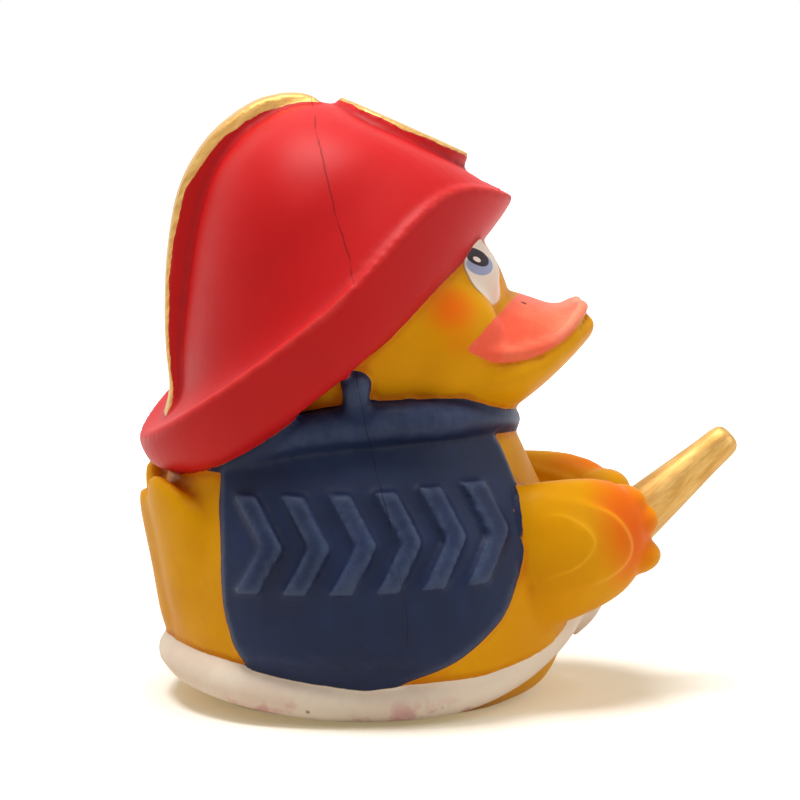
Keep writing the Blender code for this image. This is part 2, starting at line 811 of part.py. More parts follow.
def build():
    for left in list(bpy.data.objects):
        bpy.data.objects.remove(left)
    parts = bpy.data.collections.new("rubber_duck_parts")
    cutters = bpy.data.collections.new("cutters")
    for collection in (parts, cutters):
        bpy.context.scene.collection.children.link(collection)
    duck = untangled(thinned(skin(), SKIN_TRIANGLES))
    duck.name = duck.data.name = "rubber_duck"
    duck.data.materials.append(latex("latex", (0.86, 0.55, 0.02)))
    for face in duck.data.polygons:
        face.use_smooth = False
    placed_in(parts, duck)
    floor = block("floor", (4 * HALF_SPAN, 4 * HALF_SPAN, 10 * WALL), (0.0, 0.0, -5 * WALL))
    for cutter in (floor, core(), vent()):
        cutter.hide_render = True
        cutter.display_type = "WIRE"
        placed_in(cutters, cutter)
        cut = duck.modifiers.new(cutter.name, "BOOLEAN")
        cut.operation = "DIFFERENCE"
        cut.solver = "EXACT"
        cut.object = cutter


if __name__ == "__main__":
    build()
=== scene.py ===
# %% [markdown]
# # A rubber duck in a firefighter's helmet
#
# The real duck is one hollow moulding of yellow latex. Everything that it wears and holds is
# part of the same skin, and only the paint tells the helmet, the vest and the hose apart.
# This lesson therefore makes one mesh first, and then paints it in layers, each over the
# last: the blush, the bill, the helmet, the vest, the hose, the gold and the eyes.

import json
import math

import bmesh
import bpy
import numpy as np
from mathutils import Matrix, Vector
from mathutils.bvhtree import BVHTree

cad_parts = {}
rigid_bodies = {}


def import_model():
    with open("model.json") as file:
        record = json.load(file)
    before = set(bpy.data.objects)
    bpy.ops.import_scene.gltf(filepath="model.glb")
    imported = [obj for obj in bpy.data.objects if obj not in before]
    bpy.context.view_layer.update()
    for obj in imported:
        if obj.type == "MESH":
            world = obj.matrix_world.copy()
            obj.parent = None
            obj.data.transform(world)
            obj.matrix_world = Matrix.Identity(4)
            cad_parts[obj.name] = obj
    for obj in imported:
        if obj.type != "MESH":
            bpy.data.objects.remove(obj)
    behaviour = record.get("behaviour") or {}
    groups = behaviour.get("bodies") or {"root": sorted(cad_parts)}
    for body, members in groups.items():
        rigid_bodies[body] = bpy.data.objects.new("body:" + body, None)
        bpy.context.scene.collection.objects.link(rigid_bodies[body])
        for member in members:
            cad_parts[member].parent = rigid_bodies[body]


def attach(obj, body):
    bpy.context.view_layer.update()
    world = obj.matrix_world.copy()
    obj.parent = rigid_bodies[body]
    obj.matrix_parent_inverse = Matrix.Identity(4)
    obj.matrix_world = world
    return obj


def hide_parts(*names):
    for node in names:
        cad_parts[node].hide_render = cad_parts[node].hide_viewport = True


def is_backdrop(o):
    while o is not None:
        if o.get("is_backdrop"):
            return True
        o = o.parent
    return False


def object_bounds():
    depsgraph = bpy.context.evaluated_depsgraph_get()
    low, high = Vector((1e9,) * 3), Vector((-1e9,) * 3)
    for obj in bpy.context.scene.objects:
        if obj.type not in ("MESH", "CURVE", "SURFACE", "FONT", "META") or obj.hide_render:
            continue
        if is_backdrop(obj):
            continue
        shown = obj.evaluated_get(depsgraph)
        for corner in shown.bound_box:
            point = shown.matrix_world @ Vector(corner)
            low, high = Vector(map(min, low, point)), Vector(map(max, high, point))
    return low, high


for left_over in list(bpy.data.objects):
    bpy.data.objects.remove(left_over)
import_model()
cad_low, cad_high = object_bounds()
MM = 0.001


def in_scene(name, data):
    made = bpy.data.objects.new(name, data)
    bpy.context.scene.collection.objects.link(made)
    return made


print("CAD box in mm:", [round(v / MM, 1) for v in (*cad_low, *cad_high)])

# %% [markdown]
# ## Camera
#
# The photograph was taken from the duck's side and a little above it, through a long lens.
# A camera is placed by the point that it looks at, the direction back towards it and the
# distance. An empty with a Track To constraint would do the same, and plain vectors are
# easier to read.

# %% Camera
TARGET = Vector((0.0, -0.0072, 0.0418))
AZIMUTH = math.radians(265)
ELEVATION = math.radians(7)
DISTANCE = 0.55

back = Vector(
    (
        math.sin(AZIMUTH) * math.cos(ELEVATION),
        -math.cos(AZIMUTH) * math.cos(ELEVATION),
        math.sin(ELEVATION),
    )
)
lens = bpy.data.cameras.new("photo_lens")
lens.lens = 174
lens.sensor_width = 36
lens.clip_start = 0.01
camera = in_scene("photo_camera", lens)
camera.location = TARGET + back * DISTANCE
camera.rotation_mode = "QUATERNION"
camera.rotation_quaternion = (-back).to_track_quat("-Z", "Y")
bpy.context.scene.camera = camera
print("camera at", [round(v, 3) for v in camera.location])

# %% [markdown]
# ## Measuring in the duck's own directions
#
# The duck looks along -Y and is the same on both sides, so every size here is given as
# forward, side and up, in metres. `at` turns that into a point of the scene. Rows of sizes
# are filled in with a Catmull-Rom curve, which passes through each row and stays smooth.


# %% Points and smooth rows
STEPS = 5


def at(forward, side, up):
    return Vector((side, -forward, up))


def curve_value(a, b, c, d, t):
    """The Catmull-Rom curve between b and c, a share t of the way."""
    bend = (2 * a - 5 * b + 4 * c - d) * t * t
    return 0.5 * (2 * b + (c - a) * t + bend + (3 * b - a - 3 * c + d) * t**3)


def smooth_rows(rows, steps=STEPS):
    found = []
    for i in range(len(rows) - 1):
        near = rows[max(i - 1, 0)], rows[i], rows[i + 1], rows[min(i + 2, len(rows) - 1)]
        for k in range(steps):
            found.append(tuple(curve_value(*four, k / steps) for four in zip(*near)))
    found.append(tuple(rows[-1]))
    return found


print("a smooth row halfway:", smooth_rows([(0, 0), (1, 1), (2, 4)], 2)[1])


# %% [markdown]
# ## Lofts, balls, tubes and plates
#
# Four kinds of form are enough for the whole duck. A loft stretches a skin over rings, as a
# boat's hull is drawn. A ball gives the head and fingertips. A tube is a curve with a
# bevel. A plate is a closed outline seen from the side, made deeper than the duck is wide,
# and it cuts a patch out of a form that has been swollen a little.

# %% Lofts and balls
AROUND = 72


def add_object(name, mesh):
    data = bpy.data.meshes.new(name)
    mesh.to_mesh(data)
    mesh.free()
    return in_scene(name, data)


def loft(name, rows, ring_point):
    """A closed skin over rings: ring_point gives a point of the ring of one row at an angle."""
    mesh = bmesh.new()
    rings = [
        [mesh.verts.new(ring_point(row, math.tau * k / AROUND)) for k in range(AROUND)]
        for row in smooth_rows(rows)
    ]
    for lower, upper in zip(rings, rings[1:]):
        for k in range(AROUND):
            following = (k + 1) % AROUND
            mesh.faces.new((lower[k], lower[following], upper[following], upper[k]))
    mesh.faces.new(rings[0])
    mesh.faces.new(rings[-1])
    bmesh.ops.recalc_face_normals(mesh, faces=mesh.faces)
    return add_object(name, mesh)


def ball(name, middle, radii):
    mesh = bmesh.new()
    bmesh.ops.create_uvsphere(mesh, u_segments=64, v_segments=40, radius=1.0)
    made = add_object(name, mesh)
    stretch = Matrix.Diagonal((radii[1], radii[0], radii[2], 1.0))
    made.data.transform(Matrix.Translation(at(*middle)) @ stretch)
    return made


print("a loft has", AROUND, "points round each ring")

# %% Tubes and plates
WELD = 1e-6
HALF_SPAN = 0.05
SIDE_VIEW = Matrix(((0, 0, -1, 0), (-1, 0, 0, 0), (0, 1, 0, 0), (0, 0, 0, 1)))


def finished_mesh(made):
    graph = bpy.context.evaluated_depsgraph_get()
    graph.update()
    return bpy.data.meshes.new_from_object(made.evaluated_get(graph))


def meshed(curve_object):
    mesh = bmesh.new()
    mesh.from_mesh(finished_mesh(curve_object))
    bmesh.ops.remove_doubles(mesh, verts=mesh.verts, dist=WELD)
    bmesh.ops.recalc_face_normals(mesh, faces=mesh.faces)
    made = add_object(curve_object.name + "_mesh", mesh)
    made.data.transform(curve_object.matrix_world)
    bpy.data.objects.remove(curve_object)
    return made


def tube(name, line, radius=None):
    """A round tube along a line. Without a radius, each point of the line brings its own."""
    curve = bpy.data.curves.new(name, "CURVE")
    curve.dimensions = "3D"
    curve.bevel_depth = 1.0
    curve.bevel_resolution = 8
    curve.use_fill_caps = True
    points = smooth_rows(line)
    spline = curve.splines.new("POLY")
    spline.points.add(len(points) - 1)
    for target, point in zip(spline.points, points):
        target.co = (*at(*point[:3]), 1.0)
        target.radius = radius or point[3]
    return meshed(in_scene(name, curve))


def plate(name, outline, half_depth=HALF_SPAN, rounded=True, placed=SIDE_VIEW):
    curve = bpy.data.curves.new(name, "CURVE")
    curve.dimensions = "2D"
    curve.fill_mode = "BOTH"
    curve.extrude = half_depth
    curve.resolution_u = 8
    spline = curve.splines.new("BEZIER")
    spline.use_cyclic_u = True
    spline.bezier_points.add(len(outline) - 1)
    for target, (x, y) in zip(spline.bezier_points, outline):
        target.co = (x, y, 0.0)
        target.handle_left_type = target.handle_right_type = "AUTO" if rounded else "VECTOR"
    made = in_scene(name, curve)
    made.matrix_world = placed
    return meshed(made)


print("a plate is", 2 * HALF_SPAN / MM, "mm deep where nothing else is said")


# %% Modifiers, cuts and mirroring
def applied(made):
    data = finished_mesh(made)
    made.modifiers.clear()
    made.data = data
    return made


def combined(first, second, operation):
    cut = first.modifiers.new(operation.lower(), "BOOLEAN")
    cut.operation = operation
    cut.solver = "EXACT"
    cut.object = second
    applied(first)
    bpy.data.objects.remove(second)
    return first


def mirrored(line):
    return list(line) + [(point[0], -point[1], *point[2:]) for point in reversed(line[:-1])]


print("a mirrored line of 2 points has", len(mirrored([(0, 1, 0), (1, 0, 0)])))

# %% [markdown]
# ## The duck itself
#
# Body and head are two simple swollen forms. The body's rows say, from the base up, where
# its back and front are and how wide it is. Sculpting would be quicker by eye, but rows of
# sizes can be held against the photograph and corrected one at a time.

# %% Body
BODY_ROWS = (
    (-0.0015, -0.0165, 0.0205, 0.0180),
    (0.0000, -0.0190, 0.0236, 0.0210),
    (0.0020, -0.0222, 0.0275, 0.0248),
    (0.0050, -0.0238, 0.0295, 0.0268),
    (0.0075, -0.0246, 0.0304, 0.0282),
    (0.0100, -0.0260, 0.0315, 0.0295),
    (0.0150, -0.0263, 0.0320, 0.0300),
    (0.0210, -0.0266, 0.0310, 0.0300),
    (0.0270, -0.0264, 0.0286, 0.0286),
    (0.0320, -0.0258, 0.0262, 0.0263),
    (0.0360, -0.0248, 0.0244, 0.0237),
    (0.0400, -0.0235, 0.0226, 0.0220),
    (0.0460, -0.0230, 0.0220, 0.0215),
)


def body(name="body", grow=0.0):
    def ring_point(row, angle):
        up, rear, front, half_width = row
        reach = (front - rear) / 2 + grow
        return at((front + rear) / 2 + reach * math.cos(angle), (half_width + grow) * math.sin(angle), up)

    return loft(name, BODY_ROWS, ring_point)


soft = [body()]
print("body rows:", len(BODY_ROWS))

# %% Head, cheeks and eye swellings
HEAD = ((0.0008, 0.0, 0.0535), (0.0222, 0.0246, 0.0192))
CHEEK = ((0.0085, 0.0160, 0.0520), (0.0115, 0.0070, 0.0095))
EYE_SWELLING = ((0.0140, 0.0120, 0.0605), (0.0062, 0.0042, 0.0060))
soft.append(ball("head", *HEAD))
for sign in (1, -1):
    for name, ((forward, side, up), radii) in (("cheek", CHEEK), ("eye_swelling", EYE_SWELLING)):
        soft.append(ball(name, (forward, sign * side, up), radii))
print("body and head forms:", len(soft))

# %% [markdown]
# ## The bill
#
# The lower bill is a shallow spoon with a squarish lip, and the upper bill is a thin arch
# that turns up at its tip, with a rolled rim. Two lofts and a tube along the rim give the
# dark line of the mouth between them. The root of the upper bill is made once more, a
# little smaller, as part of the soft flesh, so that the bill grows out of the face.

# %% Bill
LOWER_BILL_ROWS = (
    (0.0100, 0.0185, 0.0503, 0.0400),
    (0.0160, 0.0200, 0.0499, 0.0397),
    (0.0215, 0.0186, 0.0498, 0.0405),
    (0.0255, 0.0160, 0.0502, 0.0431),
    (0.0292, 0.0124, 0.0516, 0.0461),
    (0.0322, 0.0087, 0.0532, 0.0488),
    (0.0347, 0.0042, 0.0541, 0.0512),
)
UPPER_BILL_ROWS = (
    (0.0120, 0.0185, 0.0585, 0.0506),
    (0.0150, 0.0205, 0.0583, 0.0506),
    (0.0180, 0.0194, 0.0580, 0.0501),
    (0.0217, 0.0172, 0.0575, 0.0500),
    (0.0256, 0.0144, 0.0564, 0.0505),
    (0.0290, 0.0108, 0.0553, 0.0520),
    (0.0314, 0.0074, 0.0556, 0.0538),
    (0.0328, 0.0034, 0.0563, 0.0550),
)
LOWER_BILL_BELLY = 0.7
LIP_SQUARENESS = 0.35
UPPER_BILL_THICKNESS = 0.0030
ROOT_INSET = 0.0004
LIP_RADIUS = 0.0009
LIP_RAISE = 0.0003
LIP_TIP = (0.0324, 0.0, 0.0549)


def lower_bill_point(row, angle):
    forward, half_width, lip, underside = row
    middle = underside + (lip - underside) * LOWER_BILL_BELLY
    rise = math.sin(angle)
    if rise > 0:
        up = middle + (lip - middle) * rise**LIP_SQUARENESS
    else:
        up = middle + (middle - underside) * rise
    return at(forward, half_width * math.cos(angle), up)


def upper_bill_point(row, angle):
    forward, half_width, crown, edge = row
    across = math.cos(angle)
    arch = edge + (crown - edge) * (1 - abs(across) ** 3)
    return at(forward, half_width * across, arch + UPPER_BILL_THICKNESS * min(math.sin(angle), 0.0))


root_rows = [
    (forward, half_width - ROOT_INSET, crown - ROOT_INSET, edge + ROOT_INSET)
    for forward, half_width, crown, edge in UPPER_BILL_ROWS[:4]
]
soft.append(loft("lower_bill", LOWER_BILL_ROWS, lower_bill_point))
soft.append(loft("bill_root", root_rows, upper_bill_point))
rim = [(forward, side, edge + LIP_RAISE) for forward, side, crown, edge in UPPER_BILL_ROWS[1:]]
rim.append(LIP_TIP)
upper_bill = [
    loft("upper_bill", UPPER_BILL_ROWS, upper_bill_point),
    tube("lip", mirrored(rim), LIP_RADIUS),
]
print("bill reaches forward to", round(UPPER_BILL_ROWS[-1][0] / MM, 1), "mm")

# %% [markdown]
# ## Wings and tail
#
# The wings reach forward round the nozzle like arms. Their feathers are patches of the same
# wing, swollen by half a millimetre and by a whole one, so that each leaves a soft step.
# The tail is three flat feathers bent round the back.

# %% Wings
ARM_ROWS = (
    (0.0130, 0.0165, 0.0215, 0.0085, 0.0036),
    (0.0200, 0.0166, 0.0217, 0.0092, 0.0040),
    (0.0240, 0.0168, 0.0219, 0.0102, 0.0052),
    (0.0280, 0.0156, 0.0222, 0.0102, 0.0054),
    (0.0320, 0.0136, 0.0227, 0.0096, 0.0052),
    (0.0358, 0.0108, 0.0230, 0.0085, 0.0048),
    (0.0380, 0.0088, 0.0230, 0.0068, 0.0042),
    (0.0398, 0.0074, 0.0229, 0.0044, 0.0032),
    (0.0408, 0.0066, 0.0228, 0.0018, 0.0016),
)
FEATHER_LAYERS = (
    (
        0.0005,
        (
            (0.0228, 0.0305), (0.0280, 0.0303), (0.0347, 0.0280), (0.0378, 0.0248), (0.0383, 0.0217),
            (0.0360, 0.0193), (0.0323, 0.0180), (0.0260, 0.0170), (0.0228, 0.0170),
        ),
    ),
    (
        0.0010,
        (
            (0.0228, 0.0284), (0.0250, 0.0283), (0.0286, 0.0279), (0.0318, 0.0257), (0.0324, 0.0235),
            (0.0303, 0.0211), (0.0269, 0.0199), (0.0228, 0.0196),
        ),
    ),
)
FEATHER_START = 0.0225
FEATHER_RUN = 0.0080
FINGERS = (
    ((0.0376, 0.0080, 0.0279), (0.0038, 0.0042, 0.0026)),
    ((0.0389, 0.0076, 0.0252), (0.0044, 0.0044, 0.0029)),
    ((0.0388, 0.0082, 0.0204), (0.0048, 0.0044, 0.0029)),
)
arm_rows = smooth_rows(ARM_ROWS)


def arm(sign, grow=0.0):
    def ring_point(row, angle):
        index = min(range(len(arm_rows)), key=lambda i: abs(arm_rows[i][0] - row[0]))
        before, after = arm_rows[max(index - 1, 0)], arm_rows[min(index + 1, len(arm_rows) - 1)]
        heading = math.atan2(after[1] - before[1], after[0] - before[0])
        forward, side, up, half_height, half_thickness = row
        swell = grow * min(max((forward - FEATHER_START) / FEATHER_RUN, 0.0), 1.0)
        out = (half_thickness + swell) * math.cos(angle)
        return at(
            forward - out * math.sin(heading),
            sign * (side + out * math.cos(heading)),
            up + (half_height + swell) * math.sin(angle),
        )

    return loft("arm", ARM_ROWS, ring_point)


print("wing rows:", len(ARM_ROWS), "and feather layers:", len(FEATHER_LAYERS))

# %% Tail, feathers and fingertips
TAIL_ROWS = (
    (0.0085, -0.0238, 0.0062, 0.0022),
    (0.0120, -0.0247, 0.0075, 0.0024),
    (0.0190, -0.0261, 0.0080, 0.0022),
    (0.0250, -0.0276, 0.0072, 0.0019),
    (0.0283, -0.0286, 0.0048, 0.0014),
    (0.0298, -0.0291, 0.0018, 0.0008),
)
TAIL_BEND_RADIUS = 0.0300
TAIL_SIDE = 0.0095
TAIL_SIDE_RAISE = 0.0030


def tail_feather(side):
    raised = abs(side) / TAIL_SIDE * TAIL_SIDE_RAISE

    def ring_point(row, angle):
        up, forward, half_width, half_thickness = row
        across = side + half_width * math.cos(angle)
        bend = TAIL_BEND_RADIUS - math.sqrt(TAIL_BEND_RADIUS**2 - across**2)
        return at(forward + bend + half_thickness * math.sin(angle), across, up + raised)

    return loft("tail_feather", TAIL_ROWS, ring_point)


soft += [tail_feather(side) for side in (0.0, TAIL_SIDE, -TAIL_SIDE)]
soft += [arm(1), arm(-1)]
feathers = []
for proud_by, outline in FEATHER_LAYERS:
    for sign in (1, -1):
        feathers.append(combined(arm(sign, proud_by), plate("feather", outline), "INTERSECT"))
fingers = [
    ball("finger", (forward, sign * side, up), radii)
    for (forward, side, up), radii in FINGERS
    for sign in (1, -1)
]
print("forms of the bare duck:", len(soft), "and", len(feathers) + len(fingers), "on the wings")

# %% [markdown]
# ## Helmet, crest and badge
#
# The helmet is drawn in a frame of its own that leans back, level by level from under its
# brim to its crown. Each level says how far back, forward and wide it is, and how high its
# line runs at five places from back to front, because the brim dips and rises. The crest
# is a plate that follows the helmet's back, and the badge is a shield laid on its front.

# %% Helmet
HELMET_MIDDLE = (-0.0034, 0.0537)
HELMET_LEAN = math.radians(32.2)
HELMET_LEVELS = (
    (-0.0220, 0.0200, 0.0200, -0.0040, -0.0045, -0.0030, -0.0005, -0.0015),
    (-0.0309, 0.0252, 0.0272, -0.0052, -0.0069, -0.0050, -0.0019, -0.0022),
    (-0.0313, 0.0313, 0.0302, 0.0000, 0.0013, 0.0036, 0.0072, 0.0000),
    (-0.0270, 0.0305, 0.0288, 0.0005, 0.0020, 0.0048, 0.0085, 0.0016),
    (-0.0232, 0.0296, 0.0275, 0.0022, 0.0044, 0.0074, 0.0106, 0.0033),
    (-0.0196, 0.0280, 0.0258, 0.0075, 0.0092, 0.0118, 0.0136, 0.0066),
    (-0.0140, 0.0243, 0.0236, 0.0145, 0.0160, 0.0180, 0.0186, 0.0128),
    (-0.0090, 0.0206, 0.0200, 0.0202, 0.0214, 0.0228, 0.0226, 0.0190),
    (-0.0034, 0.0172, 0.0146, 0.0252, 0.0260, 0.0264, 0.0258, 0.0247),
    (0.0020, 0.0136, 0.0076, 0.0279, 0.0281, 0.0282, 0.0279, 0.0270),
    (0.0056, 0.0096, 0.0020, 0.0286, 0.0286, 0.0286, 0.0286, 0.0284),
)


def helmet_point(row, angle):
    rear, front, half_width = row[:3]
    turned = abs((angle + math.pi) % math.tau - math.pi)
    place = (1 - turned / math.pi) * 4
    index = min(int(place), 3)
    near = [row[3 + i] for i in (abs(index - 1), index, index + 1, index + 2 if index < 3 else index)]
    height = curve_value(*near, place - index)
    along = (front + rear) / 2 + (front - rear) / 2 * math.cos(angle)
    c, s = math.cos(HELMET_LEAN), math.sin(HELMET_LEAN)
    return at(
        HELMET_MIDDLE[0] + along * c - height * s,
        half_width * math.sin(angle),
        HELMET_MIDDLE[1] + along * s + height * c,
    )


helmet = [loft("helmet", HELMET_LEVELS, helmet_point)]
print("helmet levels:", len(HELMET_LEVELS))

# %% Crest
CREST_LINE = (
    (-0.0046, 0.0848),
    (-0.0069, 0.0854),
    (-0.0102, 0.0852),
    (-0.0144, 0.0837),
    (-0.0199, 0.0792),
    (-0.0239, 0.0724),
    (-0.0256, 0.0640),
    (-0.0261, 0.0560),
    (-0.0260, 0.0495),
    (-0.0255, 0.0438),
    (-0.0262, 0.0405),
)
CREST_DEPTH = 0.0055
CREST_HALF_WIDTH = 0.0036
crest_outer = smooth_rows(CREST_LINE)
crest_inner = []
for k, (x, y) in enumerate(crest_outer):
    (x0, y0), (x1, y1) = crest_outer[max(k - 1, 0)], crest_outer[min(k + 1, len(crest_outer) - 1)]
    length = math.hypot(x1 - x0, y1 - y0)
    crest_inner.append(
        (x - CREST_DEPTH * (y1 - y0) / length, y + CREST_DEPTH * (x1 - x0) / length)
    )
crest = [plate("crest", crest_outer + crest_inner[::-1], CREST_HALF_WIDTH, rounded=False)]
print("crest points:", len(crest_outer))

# %% Badge
BADGE_TOP = at(-0.0012, 0.0, 0.0849)
BADGE_FOOT = at(0.0170, 0.0, 0.0768)
BADGE_DEPTH = 0.0046
BADGE_HALF_WIDTH = 0.0090
SHIELD_SIDE = ((0.0, 1.0), (0.45, 0.86), (0.8, 0.62), (1.0, 0.15), (0.9, -0.45), (0.5, -0.85), (0.0, -1.0))
SHIELD = SHIELD_SIDE + tuple((-x, y) for x, y in SHIELD_SIDE[-2:0:-1])
badge_run = (BADGE_TOP - BADGE_FOOT).normalized()
badge_out = Vector((1, 0, 0)).cross(badge_run)
badge_out *= 1 if badge_out.z > 0 else -1
badge_across = badge_run.cross(badge_out)
badge_half = (BADGE_TOP - BADGE_FOOT).length / 2
badge_middle = (BADGE_TOP + BADGE_FOOT) / 2 - badge_out * BADGE_DEPTH / 2
badge_turn = Matrix((badge_across, badge_run, badge_out)).transposed().to_4x4()
badge_place = Matrix.Translation(badge_middle) @ badge_turn
shield = [(BADGE_HALF_WIDTH * x, badge_half * y) for x, y in SHIELD]
badge = [plate("badge", shield, BADGE_DEPTH / 2, placed=badge_place)]
print("badge:", round(2 * badge_half / MM, 1), "mm long")

# %% [markdown]
# ## Collar, vest and hose
#
# The collar is a tube that runs round the neck and grows thicker on the shoulders. Each
# vest panel is a patch of a slightly swollen body. The hose lies round the base and climbs
# to the hands, where it ends in a tapered nozzle. Where the original carries raised
# lettering, this duck has a row of plain arrowheads of the same height.

# %% Collar and vest
COLLAR_LINE = (
    (-0.0225, 0.0000, 0.0340, 0.0022),
    (-0.0205, 0.0100, 0.0346, 0.0022),
    (-0.0160, 0.0175, 0.0366, 0.0025),
    (-0.0090, 0.0216, 0.0397, 0.0027),
    (0.0000, 0.0231, 0.0412, 0.0028),
    (0.0090, 0.0218, 0.0416, 0.0026),
    (0.0160, 0.0168, 0.0414, 0.0022),
    (0.0207, 0.0095, 0.0404, 0.0019),
    (0.0223, 0.0000, 0.0391, 0.0020),
)
VEST_OUTLINE = (
    (-0.0177, 0.0366), (-0.0190, 0.0323), (-0.0191, 0.0247), (-0.0189, 0.0174), (-0.0181, 0.0131),
    (-0.0164, 0.0090), (-0.0134, 0.0069), (-0.0088, 0.0058), (-0.0031, 0.0054), (0.0020, 0.0058),
    (0.0073, 0.0072), (0.0121, 0.0092), (0.0164, 0.0123), (0.0193, 0.0153), (0.0212, 0.0195),
    (0.0222, 0.0242), (0.0222, 0.0284), (0.0218, 0.0320), (0.0208, 0.0350), (0.0196, 0.0375),
    (0.0170, 0.0400), (0.0100, 0.0418), (0.0000, 0.0416), (-0.0080, 0.0402), (-0.0140, 0.0384),
)
VEST_PROUD = 0.0009
TAB_FOOT = (-0.0008, 0.0236, 0.0420)
TAB_TOP = (-0.0009, 0.0240, 0.0466)
TAB_RADIUS = 0.0019
vest = [combined(body("vest", VEST_PROUD), plate("vest_plate", VEST_OUTLINE), "INTERSECT")]
collar = [tube("collar", mirrored(COLLAR_LINE))]
for sign in (1, -1):
    tab_line = [(forward, sign * side, up) for forward, side, up in (TAB_FOOT, TAB_TOP)]
    collar += [tube("tab", tab_line, TAB_RADIUS), ball("tab_end", tab_line[1], (TAB_RADIUS,) * 3)]
print("vest, and collar in", len(collar), "forms")

# %% Arrowheads on the vest
ARROW_COUNT = 6
ARROW_FIRST = (-0.0176, 0.0186)
ARROW_PITCH = (0.0063, 0.0003)
ARROW_HEIGHT = 0.0132
ARROW_STROKE = 0.0030
ARROW_REACH = 0.0034
ARROW_PROUD = 0.0021
ARROW_OUTLINE = (
    (0.0, 0.0),
    (ARROW_STROKE, 0.0),
    (ARROW_STROKE + ARROW_REACH, ARROW_HEIGHT / 2),
    (ARROW_STROKE, ARROW_HEIGHT),
    (0.0, ARROW_HEIGHT),
    (ARROW_REACH, ARROW_HEIGHT / 2),
)
arrows = []
for k in range(ARROW_COUNT):
    x, y = (first + k * pitch for first, pitch in zip(ARROW_FIRST, ARROW_PITCH))
    outline = [(x + dx, y + dy) for dx, dy in ARROW_OUTLINE]
    cutter = plate("arrow_plate", outline, rounded=False)
    arrows.append(combined(body("arrow", ARROW_PROUD), cutter, "INTERSECT"))
print("arrowheads:", 2 * len(arrows))

# %% Hose and nozzle
HOSE_LINE = (
    (-0.0246, 0.0000, 0.0066),
    (-0.0224, 0.0110, 0.0060),
    (-0.0165, 0.0200, 0.0050),
    (-0.0080, 0.0245, 0.0039),
    (0.0000, 0.0256, 0.0035),
    (0.0080, 0.0252, 0.0037),
    (0.0150, 0.0223, 0.0045),
    (0.0215, 0.0175, 0.0066),
    (0.0270, 0.0105, 0.0094),
    (0.0302, 0.0040, 0.0117),
    (0.0310, 0.0000, 0.0123),
)
RISER_LINE = (
    (0.0305, 0.0000, 0.0095),
    (0.0332, 0.0000, 0.0120),
    (0.0350, 0.0000, 0.0160),
    (0.0364, 0.0000, 0.0205),
)
NOZZLE_BASE = (0.0358, 0.0200, 0.0046)
NOZZLE_TIP = (0.0549, 0.0364, 0.0022)
NOZZLE_SWELL = (
    (0.0, 1.0), (0.2, 1.0), (0.4, 1.0), (0.6, 1.0), (0.8, 1.0), (0.94, 1.03), (0.985, 0.85), (1.0, 0.45),
)
HOSE_RADIUS = 0.0029
hose = [tube("hose", mirrored(HOSE_LINE), HOSE_RADIUS), tube("riser", RISER_LINE, HOSE_RADIUS)]
nozzle_line = []
for share, swell in NOZZLE_SWELL:
    forward, up, radius = (a + (b - a) * share for a, b in zip(NOZZLE_BASE, NOZZLE_TIP))
    nozzle_line.append((forward, 0.0, up, radius * swell))
nozzle = [tube("nozzle", nozzle_line)]
print("nozzle:", round(math.dist(NOZZLE_BASE[:2], NOZZLE_TIP[:2]) / MM, 1), "mm long")

# %% [markdown]
# ## One skin
#
# All the forms are now melted into one skin, as the mould would give. A voxel Remesh keeps
# only the outside of everything that overlaps, and a few rounds of smoothing turn its small
# steps into the soft fillets of poured latex. The bare duck is melted and smoothed first
# and more strongly, so the things that it wears stay crisper than its flesh. Booleans
# would keep every hard edge instead, and a moulding has none.


# %% Helpers for melting
def gathered(pieces):
    mesh = bmesh.new()
    for piece in pieces:
        mesh.from_mesh(piece.data)
    return mesh


def joined(name, pieces):
    return add_object(name, gathered(pieces))


def remeshed(made, voxel):
    change = made.modifiers.new("remesh", "REMESH")
    change.mode = "VOXEL"
    change.voxel_size = voxel
    return applied(made)


def smoothed(made, rounds):
    change = made.modifiers.new("smooth", "SMOOTH")
    change.factor = 0.5
    change.iterations = rounds
    return applied(made)


def outermost(made):
    """Only the largest of the separate skins: a Remesh leaves small ones in the gaps inside."""
    mesh = bmesh.new()
    mesh.from_mesh(made.data)
    unseen = set(mesh.verts)
    islands = []
    while unseen:
        front = [unseen.pop()]
        island = list(front)
        while front:
            linked = [edge.other_vert(vert) for vert in front for edge in vert.link_edges]
            front = [vert for vert in dict.fromkeys(linked) if vert in unseen]
            unseen.difference_update(front)
            island += front
        islands.append(island)
    largest = max(islands, key=len)
    others = [vert for island in islands if island is not largest for vert in island]
    bmesh.ops.delete(mesh, geom=others, context="VERTS")
    mesh.to_mesh(made.data)
    mesh.free()
    return made


print("soft forms to melt:", len(soft))

# %% Melt the forms together
FLESH_VOXEL = 0.0008
FLESH_ROUNDS = 8
SKIN_VOXEL = 0.00055
SKIN_ROUNDS = 4
flesh = smoothed(remeshed(joined("flesh", soft), FLESH_VOXEL), FLESH_ROUNDS)
groups = {
    "yellow": [flesh] + feathers + fingers,
    "coral": upper_bill,
    "helmet": helmet,
    "crest": crest,
    "badge": badge,
    "navy": vest + collar + arrows,
    "hose": hose,
    "nozzle": nozzle,
}
duck = joined("rubber_duck_painted", [piece for pieces in groups.values() for piece in pieces])
duck = smoothed(outermost(remeshed(duck, SKIN_VOXEL)), SKIN_ROUNDS)
print("skin:", len(duck.data.polygons), "faces")

# %% [markdown]
# ## The flat base and the air hole
#
# The duck stands on a flat base with a small hole in it, through which it breathes when it
# is squeezed. A block cuts the base level, and a drilled hole with a floor is enough to see.
# At the end, every point is held inside the box of the CAD solid.

